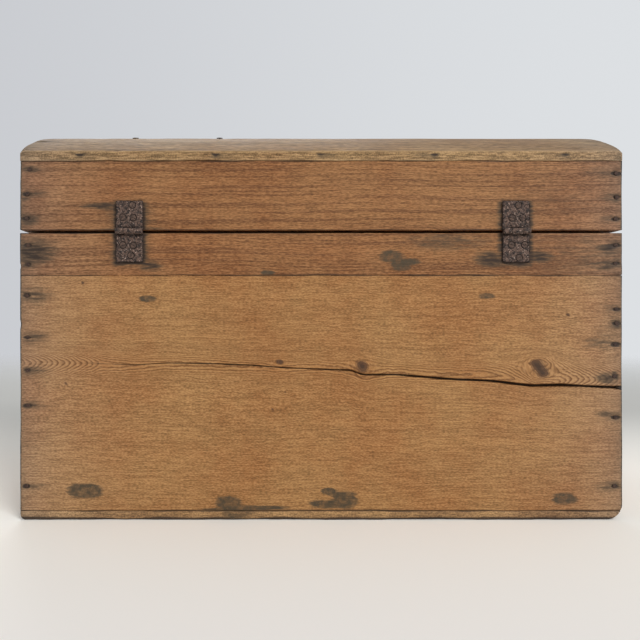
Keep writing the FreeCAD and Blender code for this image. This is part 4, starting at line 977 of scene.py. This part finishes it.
def eaten(name, body, slot, material, grain, depth, seed):
    """A CAD piece with its skin cut into even squares of the size grain, and then eaten by rust: the
    points go inwards by a smooth random depth, with round hollows where it is deepest."""
    remesh = nodes[name].copy()
    remesh.data = remesh.data.copy()
    remesh.parent = None
    remesh.hide_viewport = False
    bpy.context.scene.collection.objects.link(remesh)
    cut = remesh.modifiers.new("even", "REMESH")
    cut.mode = "VOXEL"
    cut.voxel_size = grain
    mesh = with_modifiers(remesh)
    bpy.data.objects.remove(remesh)
    points, normals = (np.empty(3 * len(mesh.vertices), np.float32) for _ in range(2))
    mesh.vertices.foreach_get("co", points)
    mesh.vertex_normals.foreach_get("vector", normals)
    corners = np.empty(len(mesh.loops), np.int32)
    mesh.loops.foreach_get("vertex_index", corners)
    points, normals = points.reshape(-1, 3).astype(float), normals.reshape(-1, 3).astype(float)
    rough = 0.5 + 0.3 * unevenness(points, 0.012, seed) + 0.3 * unevenness(points, 0.0045, seed + 1)
    hollows = np.clip(unevenness(points, 0.0032, seed + 2) - 0.55, 0, 0.6)
    worn = np.clip(rough, 0, 1.2) + 1.4 * hollows
    low, high = np.array(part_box(name))
    points = np.clip(points - normals * (depth * worn)[:, None], low, high)
    # The deepest hollows are darkened: dark rust in them, and painted shade.
    pitted = np.clip(1.4 * hollows + 0.4 * (rough - 0.7), 0, 0.8)
    return make(f"iron_{name}", points.tolist(), corners.reshape(-1, 4).tolist(), body, slot, material,
                name, pitted=pitted)


eaten("escutcheon", "case", "lock_iron", lock_iron, 0.0003, 0.00012, 121)
eaten("lock_plate", "case", "lock_iron", lock_iron, 0.0007, 0.00016, 124)
eaten("lock_link_plate", "lid", "lock_iron", lock_iron, 0.0004, 0.00014, 127)
for name in ("lock_shell", "lock_key_pin", "lock_bolt"):
    nodes[name].data.materials[0] = lock_iron
for name in ("lock_screws", "lock_link_screws", "escutcheon_pins"):
    nodes[name].data.materials[0] = screw_rust

# End handles: a cut iron plate with two ears on each end, and a drop bail forged from a round bar,
# which is nowhere quite round.
handle_rust = rusty("handle_rust", 0.9, paint(46, 38, 34), paint(78, 63, 55), paint(124, 98, 80), 0.3,
                    0.0004)
for side, seed in (("left", 131), ("right", 141)):
    eaten(f"handle_plate_{side}", "case", "handle_iron", handle_rust, 0.0006, 0.00022, seed)
    eaten(f"handle_bail_{side}", f"handle_bail_{side}", "handle_iron", handle_rust, 0.0006, 0.00030,
          seed + 4)
nodes["handle_screws"].data.materials[0] = screw_rust

# Studio: a pale floor that fades into a pale wall of light, two soft lamps, and the camera before the
# middle of the trunk's back. Painted shadow darkens the floor behind the trunk, painted light brightens
# it close to the foot, and painted shading makes the wall darker to one side.
floor_mesh = bpy.data.meshes.new("floor")
floor_mesh.from_pydata([(-9, -9, 0), (9, -9, 0), (9, 9, 0), (-9, 9, 0)], [], [(0, 1, 2, 3)])
floor = put("floor", floor_mesh)
floor_painted_light_and_shadow, tree, shader = empty_material("floor_painted_light_and_shadow")
place = add(tree, "TexCoord").outputs["Object"]
far = add(tree, "VectorMath", {0: place}, operation="LENGTH").outputs["Value"]
tree.links.new(between(far, 4.2, 1.1), shader.inputs["Alpha"])
# Painted light and shadow on the floor: a little brighter close beside the foot of the trunk's back, and
# darker further back, under and beyond the trunk, as if in its shadow.
behind = add(tree, "SeparateXYZ", {0: place}).outputs[1]
bright = blend(between(behind, 0.70, 0.26), paint(240, 238, 236), paint(247, 245, 239))
tree.links.new(blend(between(behind, 0.24, -0.75), bright, paint(180, 180, 177)),
               shader.inputs["Base Color"])
shader.inputs["Roughness"].default_value = 0.8
shader.inputs["Specular IOR Level"].default_value = 0.1
floor_mesh.materials.append(floor_painted_light_and_shadow)

world = bpy.data.worlds.new("studio")
bpy.context.scene.world = world
world.use_nodes = True
tree = world.node_tree
tree.nodes.clear()
ray = add(tree, "LightPath").outputs
seen = calc("MAXIMUM", ray["Is Glossy Ray"], ray["Is Transmission Ray"])
seen = calc("MAXIMUM", ray["Is Camera Ray"], seen)
lit = add(tree, "Background", {"Color": (1, 1, 1, 1), "Strength": 0.50})
side = add(tree, "SeparateXYZ", {0: add(tree, "TexCoord").outputs["Generated"]}).outputs[0]
# Painted shading on the backdrop the camera sees: darker towards +x, as if lit from the other side.
painted_wall_shading = blend(between(side, 0.75, -0.65), paint(198, 200, 205), paint(222, 225, 228))
wall = add(tree, "Background", {"Color": painted_wall_shading, "Strength": 1.0})
mixed = add(tree, "MixShader", {0: seen, 1: lit.outputs[0], 2: wall.outputs[0]})
tree.links.new(mixed.outputs[0], tree.nodes.new("ShaderNodeOutputWorld").inputs[0])


def lamp(name, place, aim, size, power):
    """A square soft lamp that faces a point."""
    data = bpy.data.lights.new(name, "AREA")
    data.size = size
    data.energy = power
    made = put(name, data)
    made.location = place
    look = np.array(aim) - np.array(place)
    made.rotation_euler = (math.atan2(math.hypot(look[0], look[1]), -look[2]), 0,
                           math.atan2(look[1], look[0]) - math.pi / 2)


lamp("key", (-2.9, 4.5, 4.6), (0, 0.1, 0.25), 2.6, 276)
lamp("fill", (0.8, -4.3, 3.4), (0, 0, 0.25), 3.5, 110)

view = bpy.data.cameras.new("camera")
view.lens = 36.06
view.sensor_width = 36
view.shift_x = 0.06
camera = put("camera", view)
camera.location = (0.047, 0.985, 0.237)
camera.rotation_euler = (math.pi / 2, 0, math.pi)
bpy.context.scene.camera = camera
bpy.context.scene.view_settings.view_transform = "Standard"
